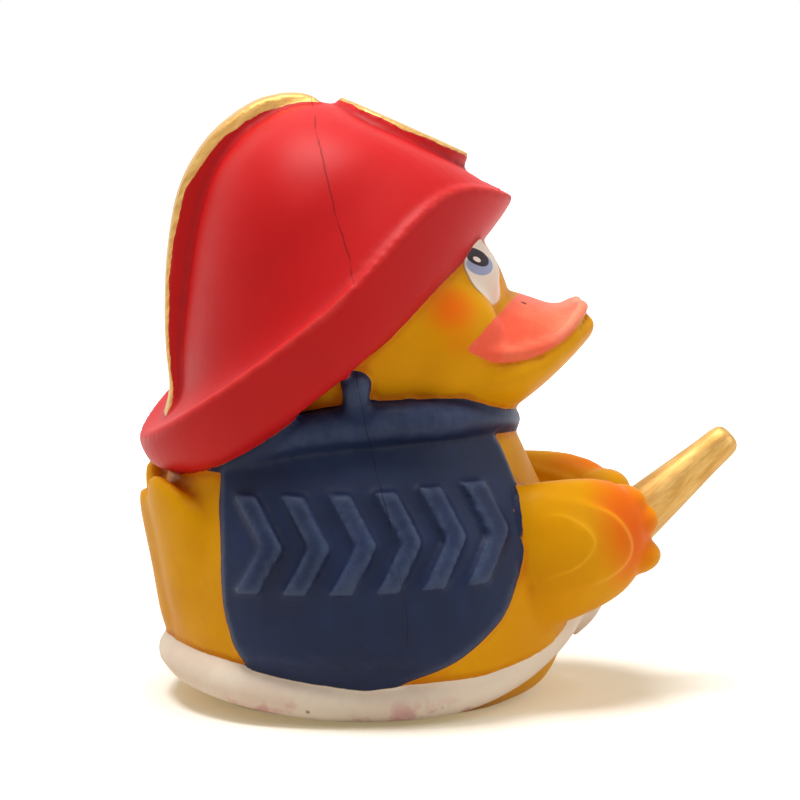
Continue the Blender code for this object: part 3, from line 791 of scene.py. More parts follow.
# %% Base and hole
BLOCK = 0.2
HOLE_RADIUS = 0.0016
HOLE_BACK = 0.0100
HOLE_DEPTH = 0.006
mesh = bmesh.new()
bmesh.ops.create_cube(mesh, size=BLOCK)
floor_block = add_object("floor_block", mesh)
floor_block.data.transform(Matrix.Translation((0.0, 0.0, -BLOCK / 2)))
mesh = bmesh.new()
bmesh.ops.create_cone(
    mesh, cap_ends=True, segments=32, radius1=HOLE_RADIUS, radius2=HOLE_RADIUS, depth=HOLE_DEPTH
)
hole = add_object("hole", mesh)
hole.data.transform(Matrix.Translation(at(-HOLE_BACK, 0.0, 0.0)))
combined(combined(duck, floor_block, "DIFFERENCE"), hole, "DIFFERENCE")


def read_points(made, name="co"):
    found = np.empty(len(made.data.vertices) * 3)
    made.data.vertices.foreach_get(name, found)
    return found.reshape(-1, 3)


held_inside = np.clip(read_points(duck), np.array(cad_low), np.array(cad_high))
duck.data.vertices.foreach_set("co", held_inside.ravel())
duck.data.update()
triangles = sum(len(face.vertices) - 2 for face in duck.data.polygons)
print("duck:", triangles, "triangles")

# %% [markdown]
# ## Where each paint begins and ends
#
# On the real duck a brush follows the steps of the moulding. Here each point of the skin is
# told how far, in millimetres, it is inside a painted form: the distance to the nearest
# other form, less the distance to its own. The value is above zero inside, and runs through
# zero exactly in the crease, so that a shader can draw an edge there as fine as it likes.
# Painting face by face would leave teeth as large as the faces. Where the real paint runs on
# past its form, a line or an outline seen from the side takes the form's place: the mouth,
# the root of the bill, the crest's narrow gold and the vest's front edge over the wing.


# %% Distances to the forms
points = read_points(duck) / MM
places = [Vector(point) * MM for point in points]


def surface(pieces):
    mesh = gathered(pieces)
    bmesh.ops.triangulate(mesh, faces=mesh.faces)
    tree = BVHTree.FromBMesh(mesh)
    mesh.free()
    return tree


def distances(pieces):
    tree = surface(pieces)
    return np.array([tree.find_nearest(place)[3] for place in places]) / MM


apart = {name: distances(pieces) for name, pieces in groups.items()}
forward, side, up = -points[:, 1], np.abs(points[:, 0]), points[:, 2]
print("measured", len(points), "points against", len(apart), "groups of forms")


# %% Helpers for margins
def keep(name, values):
    layer = duck.data.attributes.new(name, "FLOAT", "POINT")
    layer.data.foreach_set("value", np.asarray(values, np.float32))
    print(name, "covers", int((np.asarray(values) > 0).sum()), "points")


def margin(*names):
    """How far each point is inside the named groups of forms, in mm, and below zero outside."""
    own = np.min([apart[name] for name in names], axis=0)
    others = np.min([apart[name] for name in apart if name not in names], axis=0)
    return others - own


def line_distance(line):
    """Distance in mm, seen from the side, to a line given as forward and up in metres."""
    best = np.full(len(points), np.inf)
    seen = np.stack([forward, up], axis=1)
    for start, end in zip(np.array(line) / MM, np.array(line)[1:] / MM):
        run = end - start
        if not run.any():
            continue
        t = np.clip(((seen - start) @ run) / (run @ run), 0, 1)
        best = np.minimum(best, np.linalg.norm(seen - start - t[:, None] * run, axis=1))
    return best


def inside_outline(outline):
    """Distance in mm inside a closed outline seen from the side, below zero outside."""
    line = np.array(smooth_rows(list(outline) + [outline[0]]))
    found = np.zeros(len(points), bool)
    for (x0, y0), (x1, y1) in zip(line / MM, line[1:] / MM):
        if y0 == y1:
            continue
        crossing = (y0 > up) != (y1 > up)
        found ^= crossing & (forward < (x1 - x0) * (up - y0) / (y1 - y0) + x0)
    return np.where(found, 1, -1) * line_distance(line)


def along(values, table):
    """Reads a table of pairs at each value, with straight lines between its rows."""
    stops, amounts = zip(*table)
    return np.interp(values, stops, amounts)


print("groups with a margin:", ", ".join(apart))

# %% Paint margins
CREST_GOLD_WIDTH = ((45, 0.40), (63, 0.50), (72, 0.85), (77, 1.30), (83, 1.60))
MOUTH_LINE = (
    (14.6, 51.0), (16.4, 49.9), (18.0, 49.4), (19.8, 49.0), (21.6, 49.1), (23.5, 49.6), (25.6, 50.2),
    (28.8, 51.5), (30.1, 52.3), (31.2, 53.3), (32.3, 54.6),
)
BILL_ROOT = Vector((1.0, 0.223, -0.871)).normalized()
BILL_CORNER = (14.5, 21.9, 51.4)
MOUTH_FLOOR = 50.5
MOUTH_OVERRUN = 0.3
BRUSH_GAP = 0.1
BRUSH_REACH = 4.0
VEST_REACH = 3.0
BADGE_SIDE = 0.45
crest_gold = np.minimum(margin("crest"), along(up, CREST_GOLD_WIDTH) - line_distance(crest_outer))
face_depth = (points * MM - np.array(BADGE_TOP)) @ np.array(badge_out) / MM
badge_gold = np.minimum(margin("badge"), face_depth + BADGE_SIDE)
before_root = (np.stack([forward, side, up], axis=1) - BILL_CORNER) @ np.array(BILL_ROOT)
over_mouth = up - along(forward, MOUTH_LINE)
bill = margin("coral")
brushed_on = np.min([over_mouth - BRUSH_GAP, up - MOUTH_FLOOR, bill + BRUSH_REACH], axis=0)
over_wing = np.min(
    [inside_outline(VEST_OUTLINE), margin("navy") + VEST_REACH, margin("yellow")], axis=0
)
keep("red_margin", margin("helmet", "crest", "badge"))
keep("navy_margin", np.maximum(margin("navy"), over_wing))
keep("white_margin", margin("hose"))
over_lip = over_mouth + MOUTH_OVERRUN
keep("coral_margin", np.min([before_root, over_lip, np.maximum(bill, brushed_on)], axis=0))
keep("gold_margin", np.max([margin("nozzle"), crest_gold, badge_gold], axis=0))

# %% [markdown]
# ## Proud edges, feathers and the parting line
#
# Three more measurements steer the wear, the painted light and shade, and the spray. How far a point sinks
# when the skin is smoothed says whether it is on a proud edge, where paint rubs thin and a highlight is
# painted, or in a crease, where shade is painted. The feather outlines give soft orange spray and a
# painted highlight along their ridges. The parting line is the thin seam that the two halves of the mould
# leave over the top and down both sides.

# %% Proudness, feathers, parting line
SOFTENING_ROUNDS = 24
PARTING_LINE = (
    (0.0, 5.6), (11.2, 5.6), (16.4, 5.3), (24.8, 4.0), (34.0, 1.8), (38.0, 1.1), (47.0, -0.9),
    (60.8, -1.7), (64.7, -2.0), (69.9, -3.6), (75.5, -4.7), (80.1, -5.6), (83.2, -5.5), (90.0, -5.5),
)
softened = in_scene("softened", duck.data.copy())
sunk = points - read_points(smoothed(softened, SOFTENING_ROUNDS)) / MM
bpy.data.objects.remove(softened)
keep("proud", (sunk * read_points(duck, "normal")).sum(axis=1))
keep("parting", forward - along(up, PARTING_LINE))
for number, (_, outline) in enumerate(FEATHER_LAYERS):
    keep(f"feather_{number}", inside_outline(outline))

# %% [markdown]
# ## Small helpers for nodes
#
# A material is a set of nodes with wires between them. `node` adds one and fills in its
# sockets: a number is typed in, and a socket of another node is wired up. `group` starts a
# shader node group with named inputs and outputs, to be placed in any material. Wiring by
# hand in the Shader Editor gives the same, and code can be read from top to bottom.


# %% Node helpers
def colour(red, green, blue):
    """A colour picked as 0 to 255 on a screen, in the linear values that Blender works in."""
    shares = [value / 255 for value in (red, green, blue)]
    return tuple(((v + 0.055) / 1.055) ** 2.4 if v > 0.04 else v / 12.92 for v in shares) + (1.0,)


def fill(tree, sockets, values):
    """Wires each socket up to another one, or types in a number or colour."""
    for socket, value in zip(sockets, values):
        if isinstance(value, bpy.types.NodeSocket):
            tree.links.new(value, socket)
        else:
            socket.default_value = value


def node(tree, kind, settings=(), **sockets):
    made = tree.nodes.new("ShaderNode" + kind)
    for name, value in dict(settings).items():
        setattr(made, name, value)
    for name, value in sockets.items():
        name = name.replace("_", " ")
        fill(tree, [s for s in made.inputs if s.enabled and s.name == name], [value])
    return made


print("brick red as Blender sees it:", [round(v, 3) for v in colour(170, 60, 40)])


# %% Sums, ramps, blends and noise
def calculate(tree, operation, *values, clamp=False):
    made = node(tree, "Math", {"operation": operation, "use_clamp": clamp})
    fill(tree, made.inputs, values)
    return made.outputs[0]


def vectors(tree, operation, *values):
    made = node(tree, "VectorMath", {"operation": operation})
    fill(tree, made.inputs, values)
    return made.outputs


def ramp(tree, value, low, high):
    """0 up to low, 1 from high on, and a smooth step between. Low may be the larger one."""
    smooth = {"interpolation_type": "SMOOTHSTEP"}
    return node(tree, "MapRange", smooth, Value=value, From_Min=low, From_Max=high).outputs["Result"]


def blend(tree, share, first, second, kind="RGBA"):
    made = node(tree, "Mix", {"data_type": kind})
    fill(tree, [s for s in made.inputs if s.enabled], (share, first, second))
    return next(s for s in made.outputs if s.enabled)


def object_place(tree):
    return tree.nodes.new("ShaderNodeTexCoord").outputs["Object"]


def noise(tree, scale, detail=3.0, roughness=0.55, vector=None):
    vector = vector or object_place(tree)
    made = node(tree, "TexNoise", Vector=vector, Scale=scale, Detail=detail, Roughness=roughness)
    return made.outputs["Fac"]


def shake(tree, amount, *settings):
    """Noise about zero, which reaches about half the amount either way."""
    centred = calculate(tree, "SUBTRACT", noise(tree, *settings), 0.5)
    return calculate(tree, "MULTIPLY", centred, amount)


def group(name, inputs, outputs):
    tree = bpy.data.node_groups.new(name, "ShaderNodeTree")
    for label, value in inputs.items():
        kind = "NodeSocketColor" if isinstance(value, tuple) else "NodeSocketFloat"
        tree.interface.new_socket(label, in_out="INPUT", socket_type=kind).default_value = value
    for label, kind in outputs.items():
        tree.interface.new_socket(label, in_out="OUTPUT", socket_type=kind)
    return tree, tree.nodes.new("NodeGroupInput").outputs, tree.nodes.new("NodeGroupOutput").inputs


print("helpers for nodes: fill, node, calculate, vectors, ramp, blend, noise, shake and group")

# %% [markdown]
# ## Effects shared by the paints
#
# Four effects could serve on any painted toy, so each is a node group. `paint edge` turns a margin in
# millimetres into a mask with a hand-painted wobble. The group for proud edges finds them, broken up by
# noise, and marks both wear and a painted highlight there. `mottled` lets a colour drift between two
# shades, for no paint is quite even. `specks` scatters small flecks of dirt.

# %% Group: paint edge
edge_group, inner, outer = group(
    "paint edge",
    {"Margin": 0.0, "Wobble": 0.15, "Fade": 0.08, "Scale": 500.0},
    {"Mask": "NodeSocketFloat"},
)
wave = calculate(edge_group, "MULTIPLY", shake(edge_group, 4.0, inner["Scale"]), inner["Wobble"])
wavy = calculate(edge_group, "ADD", inner["Margin"], wave)
faded = calculate(edge_group, "MULTIPLY", inner["Fade"], -1.0)
edge_group.links.new(ramp(edge_group, wavy, faded, inner["Fade"]), outer["Mask"])
print("paint edge:", len(edge_group.nodes), "nodes")

# %% Group: wear and painted highlight on proud edges
wear_and_highlight_group, inner, outer = group(
    "wear_and_highlight",
    {"Proud": 0.0, "Start": 0.05, "Full": 0.20, "Scale": 900.0, "Breakup": 0.10},
    {"Mask": "NodeSocketFloat"},
)
grit = shake(wear_and_highlight_group, inner["Breakup"], inner["Scale"], 5.0, 0.7)
height = calculate(wear_and_highlight_group, "ADD", inner["Proud"], grit)
wear_and_highlight_group.links.new(ramp(wear_and_highlight_group, height, inner["Start"], inner["Full"]), outer["Mask"])
print("rubbed:", len(wear_and_highlight_group.nodes), "nodes")

# %% Group: mottled
mottled_group, inner, outer = group(
    "mottled",
    {"Colour": (0.5, 0.5, 0.5, 1.0), "Other": (0.4, 0.4, 0.4, 1.0), "Scale": 60.0, "Amount": 0.6},
    {"Colour": "NodeSocketColor"},
)
drift = ramp(mottled_group, noise(mottled_group, inner["Scale"], 4.0, 0.6), 0.35, 0.68)
drift = calculate(mottled_group, "MULTIPLY", drift, inner["Amount"])
mottled_group.links.new(blend(mottled_group, drift, inner["Colour"], inner["Other"]), outer["Colour"])
print("mottled:", len(mottled_group.nodes), "nodes")

# %% Group: specks
specks_group, inner, outer = group(
    "specks",
    {"Scale": 300.0, "Size": 0.10, "Share": 0.10},
    {"Mask": "NodeSocketFloat"},
)
cells = node(specks_group, "TexVoronoi", Vector=object_place(specks_group), Scale=inner["Scale"])
dot = ramp(specks_group, cells.outputs["Distance"], inner["Size"], 0.0)
chance = node(specks_group, "SeparateColor", Color=cells.outputs["Color"]).outputs["Red"]
chosen = calculate(specks_group, "LESS_THAN", chance, inner["Share"])
specks_group.links.new(calculate(specks_group, "MULTIPLY", dot, chosen), outer["Mask"])
print("specks:", len(specks_group.nodes), "nodes")

# %% [markdown]
# ## The eye, placed on the head
#
# The eye is painted flat on the swelling of the head. Two directions lie in the plane of
# the paint: one runs forward round the head, and one runs up. In those, the white, the
# iris, the pupil and its glint are plain ovals, and both sides of the head share them,
# because the distance from the middle plane is taken without its sign. A decal would need
# an image, and ovals stay sharp at any distance.

# %% Group: eye
eye_group, inner, outer = group(
    "eye",
    {"Softness": 0.05},
    {name: "NodeSocketFloat" for name in ("White", "Lash", "Iris", "Pupil", "Glint")},
)
EYE_MIDDLE = (14.0, -17.0, 61.5)
EYE_ALONG = (-0.777, -0.630, 0.0)


def folded_place(tree):
    """The place on the duck in mm, with both sides folded onto one."""
    split = node(tree, "SeparateXYZ", Vector=object_place(tree)).outputs
    width = calculate(tree, "ABSOLUTE", split["X"])
    folded = node(tree, "CombineXYZ", X=width, Y=split["Y"], Z=split["Z"]).outputs[0]
    return node(tree, "VectorMath", {"operation": "SCALE"}, Vector=folded, Scale=1 / MM).outputs[0]


def measured(tree, place, direction, start=(0.0, 0.0, 0.0)):
    """How far the place is along a direction from a start, in mm."""
    shifted = vectors(tree, "SUBTRACT", place, start)[0]
    return vectors(tree, "DOT_PRODUCT", shifted, direction)["Value"]


def oval(tree, across, height, middle, radii, lean=0.0):
    """0 in the middle of a leaning oval and 1 on its edge."""
    c, s = math.cos(math.radians(lean)), math.sin(math.radians(lean))
    total = 0.0
    for a, b, radius in ((c, s, radii[0]), (-s, c, radii[1])):
        offset = -(middle[0] * a + middle[1] * b) / radius
        term = calculate(tree, "MULTIPLY_ADD", across, a / radius, offset)
        term = calculate(tree, "ADD", term, calculate(tree, "MULTIPLY", height, b / radius))
        total = calculate(tree, "ADD", calculate(tree, "MULTIPLY", term, term), total)
    return calculate(tree, "SQRT", total)


print("the eye lies flat along", EYE_ALONG)

# %% The ovals of the eye
UPWARD = (0.0, 0.0, 1.0)
place = folded_place(eye_group)
across = measured(eye_group, place, EYE_ALONG, EYE_MIDDLE)
height = measured(eye_group, place, UPWARD, EYE_MIDDLE)
shaky = shake(eye_group, 0.10, 600.0)
ovals = {
    "White": ((1.85, 0.2), (4.85, 5.0), 22.0),
    "Lash": ((1.75, 0.15), (5.05, 5.2), 22.0),
    "Iris": ((-0.85, 0.85), (1.95, 1.45), 0.0),
    "Pupil": ((-1.05, 1.9), (1.7, 1.15), -31.0),
    "Glint": ((-1.25, 1.6), (0.5, 0.34), -31.0),
}
for name, (middle, radii, lean) in ovals.items():
    reach = calculate(eye_group, "ADD", oval(eye_group, across, height, middle, radii, lean), shaky)
    low = calculate(eye_group, "ADD", inner["Softness"], 1.0)
    high = calculate(eye_group, "SUBTRACT", 1.0, inner["Softness"])
    eye_group.links.new(ramp(eye_group, reach, low, high), outer[name])
print("eye:", len(ovals), "ovals in", len(eye_group.nodes), "nodes")

# %% [markdown]
# ## The painted latex
#
# One Principled shader carries every coat, since all of them lie on the same skin. A coat is
# a mask with its own colour, roughness, metal and varnish, mixed over what is under it.
# `coat` keeps the running values in a small dictionary. Varnish goes to Coat Weight: bare
# latex has hardly any, and the paints more. The latex's own specular is low, because a
# strong one would wash the colours out. Separate materials would need the skin cut along
# each edge of paint, and would lose the thin edges where one coat shows through another.

# %% Start the material
painted = bpy.data.materials.new("painted_latex")
painted.use_nodes = True
tree = painted.node_tree
shader = tree.nodes["Principled BSDF"]
shader.inputs["IOR"].default_value = 1.46
shader.inputs["Specular IOR Level"].default_value = 0.07
shader.inputs["Coat Roughness"].default_value = 0.52
look = {}


def kept(name):
    return node(tree, "Attribute", {"attribute_name": name}).outputs["Fac"]


def use(group_tree, output, **sockets):
    settings = {"node_tree": group_tree, "label": group_tree.name}
    return node(tree, "Group", settings, **sockets).outputs[output]


def coat(mask, paint, roughness=None, metallic=None, varnish=None):
    look["colour"] = blend(tree, mask, look["colour"], paint)
    for name, value in (("roughness", roughness), ("metallic", metallic), ("varnish", varnish)):
        if value is not None:
            look[name] = blend(tree, mask, look[name], value, kind="FLOAT")


def both(*masks):
    found = masks[0]
    for mask in masks[1:]:
        found = calculate(tree, "MULTIPLY", found, mask, clamp=True)
    return found


print("material started:", painted.name)


# %% Masks and uneven values
place = folded_place(tree)
ahead = measured(tree, place, (0.0, -1.0, 0.0))
risen = measured(tree, place, UPWARD)


def spot(middle, full, none):
    """A soft round mask about a point given as forward, side and up in mm."""
    apart_by = vectors(tree, "DISTANCE", place, (middle[1], -middle[0], middle[2]))["Value"]
    return ramp(tree, apart_by, none, full)


def edged(margin_name, wobble, fade, scale):
    return use(edge_group, "Mask", Margin=kept(margin_name), Wobble=wobble, Fade=fade, Scale=scale)


def mottled(first, second, scale, amount):
    return use(mottled_group, "Colour", Colour=first, Other=second, Scale=scale, Amount=amount)


def uneven(low, high, scale, detail=5.0):
    return blend(tree, noise(tree, scale, detail), low, high, kind="FLOAT")


print("nodes before the first coat:", len(tree.nodes))

# %% [markdown]
# ## Yellow latex and its orange shading
#
# The latex is coloured right through, a warm yellow, and its creases get a deeper painted shade, which
# stands in for the light that goes a little way into the latex and comes back warmer. Soft orange is
# sprayed on the cheeks and on the wings behind the fingertips, before anything else is painted, and a
# lighter yellow is painted along the edges of the feathers as a highlight.

# %% Latex
LATEX = colour(236, 168, 5)
LATEX_SHADE = colour(224, 150, 3)
LATEX_CREASE_SHADE = colour(196, 104, 6)
# Painted shade: this mask darkens the creases in the latex, the helmet, the vest and the gold.
crease_shade = ramp(tree, kept("proud"), -0.01, -0.22)
look["colour"] = mottled(LATEX, LATEX_SHADE, 70.0, 0.7)
look["roughness"] = uneven(0.40, 0.52, 220.0, 3.0)
look["metallic"] = 0.0
look["varnish"] = 0.05
coat(both(crease_shade, 0.75), LATEX_CREASE_SHADE)
print("bare latex:", len(tree.nodes), "nodes so far")

# %% Orange spray
SPRAY = colour(244, 100, 14)
FEATHER_RIDGE_HIGHLIGHT = colour(255, 190, 30)
CHEEK_SPOT = (12.4, 21.5, 57.0)
LOW_CHEEK_SPOT = (13.0, 21.0, 52.8)
HAND_SPOT = (35.6, 12.0, 24.8)
low_blush = both(spot(LOW_CHEEK_SPOT, 0.3, 4.0), 0.45)
cheek = calculate(tree, "MAXIMUM", spot(CHEEK_SPOT, 0.5, 5.5), low_blush)
coat(both(cheek, 0.78), SPRAY, 0.46)
outer_face = ramp(tree, measured(tree, place, (1.0, -0.5, 0.0), (28.8, 0.0, 0.0)), -4.0, -1.0)
hand = both(spot(HAND_SPOT, 3.8, 9.8), outer_face)
for name, low, high, amount in (
    ("feather_1", 0.3, -0.3, 0.85),
    ("feather_1", -0.2, 0.6, 0.50),
    ("feather_0", 0.2, -0.2, 0.45),
):
    coat(both(hand, ramp(tree, kept(name), low, high), amount), SPRAY, 0.48)
# Painted highlight: a lighter yellow along the ridges of the feathers.
for number, (_, outline) in enumerate(FEATHER_LAYERS):
    front = max(x for x, y in outline) / MM
    ridge_highlight = ramp(tree, calculate(tree, "ABSOLUTE", kept(f"feather_{number}")), 0.40, 0.0)
    fading = ramp(tree, ahead, front - 8.0, front - 2.5)
    coat(both(ridge_highlight, outer_face, fading, 0.40), FEATHER_RIDGE_HIGHLIGHT)
print("latex and spray:", len(tree.nodes), "nodes so far")

# %% [markdown]
# ## Bill, helmet, vest and hose
#
# These are brushed on one after another. Each keeps to its form, with a small wobble. The bill is a soft
# coral with a painted highlight along its rim and a warm painted shade under it, the helmet a satin red
# with painted shade in its creases and lighter proud edges, both from wear and as a painted highlight, the
# vest a navy with painted shade in its creases and dust and a painted highlight on its raised arrowheads,
# and the hose an off-white that has picked up dark specks and pink smudges from handling.

# %% Bill
CORAL = colour(250, 96, 66)
CORAL_LIGHT = colour(253, 128, 92)
CORAL_RIM_HIGHLIGHT = colour(255, 158, 128)
MOUTH_SHADE = colour(206, 92, 6)
NOSTRIL = colour(120, 34, 22)
NOSTRIL_SPOT = (24.0, 7.1, 56.1)
bill_mask = edged("coral_margin", 0.12, 0.10, 420.0)
coat(bill_mask, mottled(CORAL, CORAL_LIGHT, 120.0, 0.8), 0.42, varnish=0.30)
# Painted highlight along the rolled rim at the front of the bill.
lip_highlight = both(bill_mask, ramp(tree, kept("proud"), 0.05, 0.22), ramp(tree, ahead, 25.0, 30.0), 0.5)
coat(lip_highlight, CORAL_RIM_HIGHLIGHT)
# Painted shade: a warm dark band in the groove under the rim of the upper bill.
outside = ramp(tree, kept("coral_margin"), -1.0, -0.1)
groove = both(outside, ramp(tree, kept("coral_margin"), 0.2, -0.1))
below_rim = both(ramp(tree, ahead, 15.0, 19.0), ramp(tree, risen, 55.0, 53.0))
coat(both(groove, below_rim, 0.45), MOUTH_SHADE)
coat(spot(NOSTRIL_SPOT, 0.25, 0.60), NOSTRIL, 0.6)
print("bill:", len(tree.nodes), "nodes so far")

# %% Helmet
RED = colour(203, 22, 25)
RED_SHADE = colour(191, 17, 20)
RED_CREASE_SHADE = colour(150, 14, 20)
RED_WEAR_AND_HIGHLIGHT = colour(232, 84, 78)
RED_SEAM = colour(122, 8, 14)
wavering = calculate(tree, "ADD", kept("parting"), shake(tree, 0.9, 180.0))
off_seam = calculate(tree, "ABSOLUTE", wavering)
seam = both(ramp(tree, off_seam, 0.15, 0.02), ramp(tree, noise(tree, 240.0), 0.32, 0.56))
red_mask = edged("red_margin", 0.10, 0.08, 380.0)
coat(red_mask, mottled(RED, RED_SHADE, 45.0, 0.7), uneven(0.40, 0.56, 160.0), varnish=0.28)
# Painted shade in the creases of the helmet.
coat(both(red_mask, crease_shade, 0.6), RED_CREASE_SHADE)
# Lighter proud edges of the helmet: wear and a painted highlight.
wear_and_highlight = use(wear_and_highlight_group, "Mask", Proud=kept("proud"), Start=0.10, Full=0.34)
coat(both(red_mask, wear_and_highlight, 0.35), RED_WEAR_AND_HIGHLIGHT)
red_seam = both(seam, red_mask, ramp(tree, risen, 60.0, 63.0))
coat(both(red_seam, 0.75), RED_SEAM, 0.6)
print("helmet:", len(tree.nodes), "nodes so far")

# %% Vest and collar
NAVY = colour(32, 45, 80)
NAVY_SHADE = colour(25, 34, 60)
NAVY_DUST_AND_HIGHLIGHT = colour(80, 95, 126)
NAVY_CREASE_SHADE = colour(16, 20, 36)
NAVY_SEAM = colour(12, 15, 28)
navy_mask = edged("navy_margin", 0.08, 0.07, 450.0)
coat(navy_mask, mottled(NAVY, NAVY_SHADE, 80.0, 0.8), uneven(0.36, 0.52, 200.0), varnish=0.22)
# Proud edges of the vest and arrowheads: dust and a painted highlight.
dust_and_highlight = use(
    wear_and_highlight_group, "Mask", Proud=kept("proud"), Start=0.03, Full=0.24, Scale=700.0, Breakup=0.16
)
coat(both(navy_mask, dust_and_highlight, 0.5), NAVY_DUST_AND_HIGHLIGHT)
# Painted shade in the creases of the vest and collar.
coat(both(navy_mask, crease_shade, 0.4), NAVY_CREASE_SHADE)
navy_seam = both(seam, navy_mask, ramp(tree, risen, 10.0, 14.0))
coat(both(navy_seam, 0.6), NAVY_SEAM, 0.6)
print("vest and collar:", len(tree.nodes), "nodes so far")

# %% Hose
OFF_WHITE = colour(250, 236, 217)
OFF_WHITE_SHADE = colour(241, 219, 201)
PINK_SMUDGE = colour(214, 140, 150)
DARK_SPECK = colour(70, 50, 60)
white_mask = edged("white_margin", 0.10, 0.08, 420.0)
coat(white_mask, mottled(OFF_WHITE, OFF_WHITE_SHADE, 110.0, 0.8), 0.48, varnish=0.20)
low_down = ramp(tree, risen, 5.0, 2.0)
smudged = both(ramp(tree, noise(tree, 170.0, 4.0), 0.54, 0.66), low_down, 0.6)
coat(both(white_mask, smudged), PINK_SMUDGE)
specked = use(specks_group, "Mask", Scale=330.0, Size=0.17, Share=0.16)
coat(both(white_mask, specked, 0.8), DARK_SPECK)
print("coats up to the hose:", len(tree.nodes), "nodes so far")

# %% [markdown]
# ## Gold, and the eyes
#
# Gold paint is metal flakes in varnish, so it is part metal and fairly rough, and the brush
# leaves streaks along its stroke. It is the last coat on the crest, badge and nozzle, and
# runs a little over their edges. The eyes are printed last, and are glossier.

# %% Gold
GOLD_DARK = colour(192, 144, 72)
GOLD_LIGHT = colour(222, 182, 108)
GOLD_CREASE_SHADE = colour(120, 74, 40)
BARE_BROWN = colour(150, 84, 50)
nozzle_base, nozzle_tip = (at(forward, 0.0, up) for forward, up, _ in (NOZZLE_BASE, NOZZLE_TIP))
nozzle_run = nozzle_tip - nozzle_base
stroke = node(tree, "Mapping", {"vector_type": "TEXTURE"}, Vector=object_place(tree))
stroke.inputs["Rotation"].default_value = nozzle_run.to_track_quat("Y", "Z").to_euler()
stroke.inputs["Scale"].default_value = (1.0, 6.0, 1.0)
streaks = noise(tree, 1100.0, 4.0, 0.6, stroke.outputs["Vector"])
gold_mask = edged("gold_margin", 0.22, 0.06, 330.0)
gold = blend(tree, ramp(tree, streaks, 0.30, 0.70), GOLD_DARK, GOLD_LIGHT)
coat(gold_mask, gold, blend(tree, streaks, 0.40, 0.58, kind="FLOAT"), 0.58, 0.30)
# Painted shade in the creases of the gold.
coat(both(gold_mask, crease_shade, 0.5), GOLD_CREASE_SHADE)
bare = ramp(tree, noise(tree, 420.0, 5.0, 0.7), 0.68, 0.74)
off_the_hose = ramp(tree, kept("white_margin"), -3.0, -6.0)
coat(both(gold_mask, bare, off_the_hose, 0.5), BARE_BROWN, 0.6, 0.2)
print("gold:", len(tree.nodes), "nodes so far")

# %% Eyes
EYE_WHITE = colour(243, 228, 212)
LASH = colour(128, 96, 62)
IRIS = colour(148, 160, 204)
PUPIL = colour(40, 26, 30)
GLINT = colour(250, 236, 230)
eyes = {name: use(eye_group, name) for name in ovals}
in_sight = both(ramp(tree, ahead, 10.0, 11.0), ramp(tree, kept("red_margin"), 0.05, -0.05))
rear_edge = ramp(tree, measured(tree, place, EYE_ALONG, EYE_MIDDLE), -1.5, -2.6)
coat(both(eyes["Lash"], in_sight, rear_edge, 0.8), LASH, 0.5)
coat(both(eyes["White"], in_sight), EYE_WHITE, 0.34, varnish=0.40)
coat(both(eyes["Iris"], eyes["White"], in_sight, 0.9), IRIS, 0.30)
coat(both(eyes["Pupil"], eyes["White"], in_sight), PUPIL, 0.25)
coat(both(eyes["Glint"], in_sight), GLINT, 0.30)
print("all coats:", len(tree.nodes), "nodes")

# %% [markdown]
# ## Fine relief, and joining it up
#
# Paint on latex has the finest orange-peel and broader waves, brush strokes in the gold, and
# a fine groove along the parting line. All of them are added up as one height and go
# through one Bump node, which tilts the shading without adding faces.

# %% Relief
relief = 0.0
for height, amount in (
    (noise(tree, 1500.0, 2.0), 0.014),
    (noise(tree, 260.0, 3.0), 0.060),
    (both(streaks, gold_mask), 0.07),
    (calculate(tree, "MAXIMUM", red_seam, navy_seam), -0.10),
):
    relief = calculate(tree, "MULTIPLY_ADD", height, amount, relief)
bump = node(tree, "Bump", Strength=0.8, Distance=MM, Height=relief)
tree.links.new(bump.outputs["Normal"], shader.inputs["Normal"])
for name, label in (
    ("colour", "Base Color"),
    ("roughness", "Roughness"),
    ("metallic", "Metallic"),
    ("varnish", "Coat Weight"),
):
    tree.links.new(look[name], shader.inputs[label])
duck.data.materials.clear()
duck.data.materials.append(painted)
for face in duck.data.polygons:
    face.use_smooth = True
print("painted_latex:", len(tree.nodes), "nodes")

# %% [markdown]
# ## Join the duck to the CAD part
#
# The painted skin takes the place of the plain solid and rides with it. The forms that it
# was measured against have done their work and are removed.

# %% Ride
for pieces in (soft, *groups.values()):
    for piece in pieces:
        bpy.data.objects.remove(piece)
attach(duck, "root")
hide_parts("rubber_duck")

# %% [markdown]
# ## Floor, background and light
#
# The photograph was taken in a white tent: soft light from above and a little behind, less
# from the sides, a white ground and a faint warm shadow. For the camera, and for rays in
# gloss or through glass, the floor glows a little near the duck, so that it keeps the
# shadow, and is plain white further off. Rays of light see dull paper, so that it can look
# white at a light level that leaves the duck's colours alone.

# %% Floor
mesh = bmesh.new()
bmesh.ops.create_grid(mesh, x_segments=1, y_segments=1, size=3.0)
ground = add_object("ground", mesh)
paper = bpy.data.materials.new("white_paper")
paper.use_nodes = True
tree = paper.node_tree
shader = tree.nodes["Principled BSDF"]
shader.inputs["Roughness"].default_value = 0.9
shader.inputs["Specular IOR Level"].default_value = 0.0


def looked_at(tree):
    """1 for rays from the camera, in reflections and through glass, and 0 for rays of light."""
    rays = tree.nodes.new("ShaderNodeLightPath").outputs
    direct = calculate(tree, "MAXIMUM", rays["Is Camera Ray"], rays["Is Transmission Ray"])
    return calculate(tree, "MAXIMUM", direct, rays["Is Glossy Ray"])


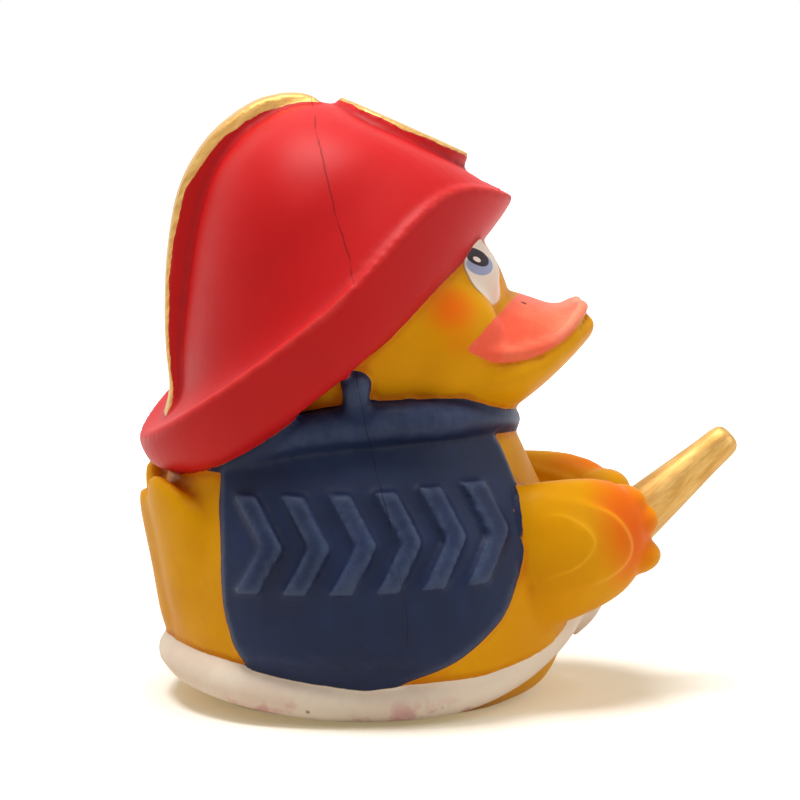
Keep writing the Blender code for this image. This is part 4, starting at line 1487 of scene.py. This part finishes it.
NEAR_PAPER = (0.95, 0.95, 0.95, 1.0)
NEAR_GLOW = (0.27, 0.22, 0.12, 1.0)
LIT_PAPER = (0.70, 0.64, 0.56, 1.0)
WHITE = (1.0, 1.0, 1.0, 1.0)
BLACK = (0.0, 0.0, 0.0, 1.0)
NEAR = 0.10
FAR = 0.24
seen = looked_at(tree)
far_off = ramp(tree, vectors(tree, "LENGTH", object_place(tree))["Value"], NEAR, FAR)
glow = blend(tree, far_off, NEAR_GLOW, WHITE)
tree.links.new(blend(tree, seen, LIT_PAPER, NEAR_PAPER), shader.inputs["Base Color"])
tree.links.new(blend(tree, seen, BLACK, glow), shader.inputs["Emission Color"])
shader.inputs["Emission Strength"].default_value = 1.0
ground.data.materials.append(paper)
ground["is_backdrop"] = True
print("ground:", [round(v, 1) for v in ground.dimensions])

# %% World
world = bpy.data.worlds.new("light_tent")
bpy.context.scene.world = world
world.use_nodes = True
tree = world.node_tree
for left_over in list(tree.nodes):
    tree.nodes.remove(left_over)
TENT_GLOW = (0.26, 0.255, 0.245, 1.0)
glow = blend(tree, looked_at(tree), TENT_GLOW, WHITE)
background = node(tree, "Background", Color=glow)
tree.links.new(background.outputs[0], node(tree, "OutputWorld").inputs["Surface"])
print("world:", len(tree.nodes), "nodes")


# %% Lamps
def softbox(name, place, size, power, tint=(1.0, 1.0, 1.0)):
    lamp = bpy.data.lights.new(name, "AREA")
    lamp.shape = "RECTANGLE"
    lamp.size, lamp.size_y = size
    lamp.energy = power
    lamp.color = tint
    held = in_scene(name, lamp)
    held.location = place
    held.rotation_mode = "QUATERNION"
    held.rotation_quaternion = (Vector(place) - TARGET).to_track_quat("Z", "Y")


softbox("overhead", at(-0.08, -0.02, 0.57), (0.32, 0.32), 3.7, (1.0, 0.98, 0.95))
softbox("front_fill", at(0.50, -0.16, 0.30), (0.40, 0.40), 0.80)
bpy.context.scene.view_settings.view_transform = "Standard"

# %% [markdown]
# ## Sizes, and the last line
#
# The painted duck has to fit the box of the solid that it replaces, so both boxes are
# written down before the scene is finished.

# %% Finish
low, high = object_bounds()
print("visual box in mm:", [round(v / MM, 1) for v in (*low, *high)])
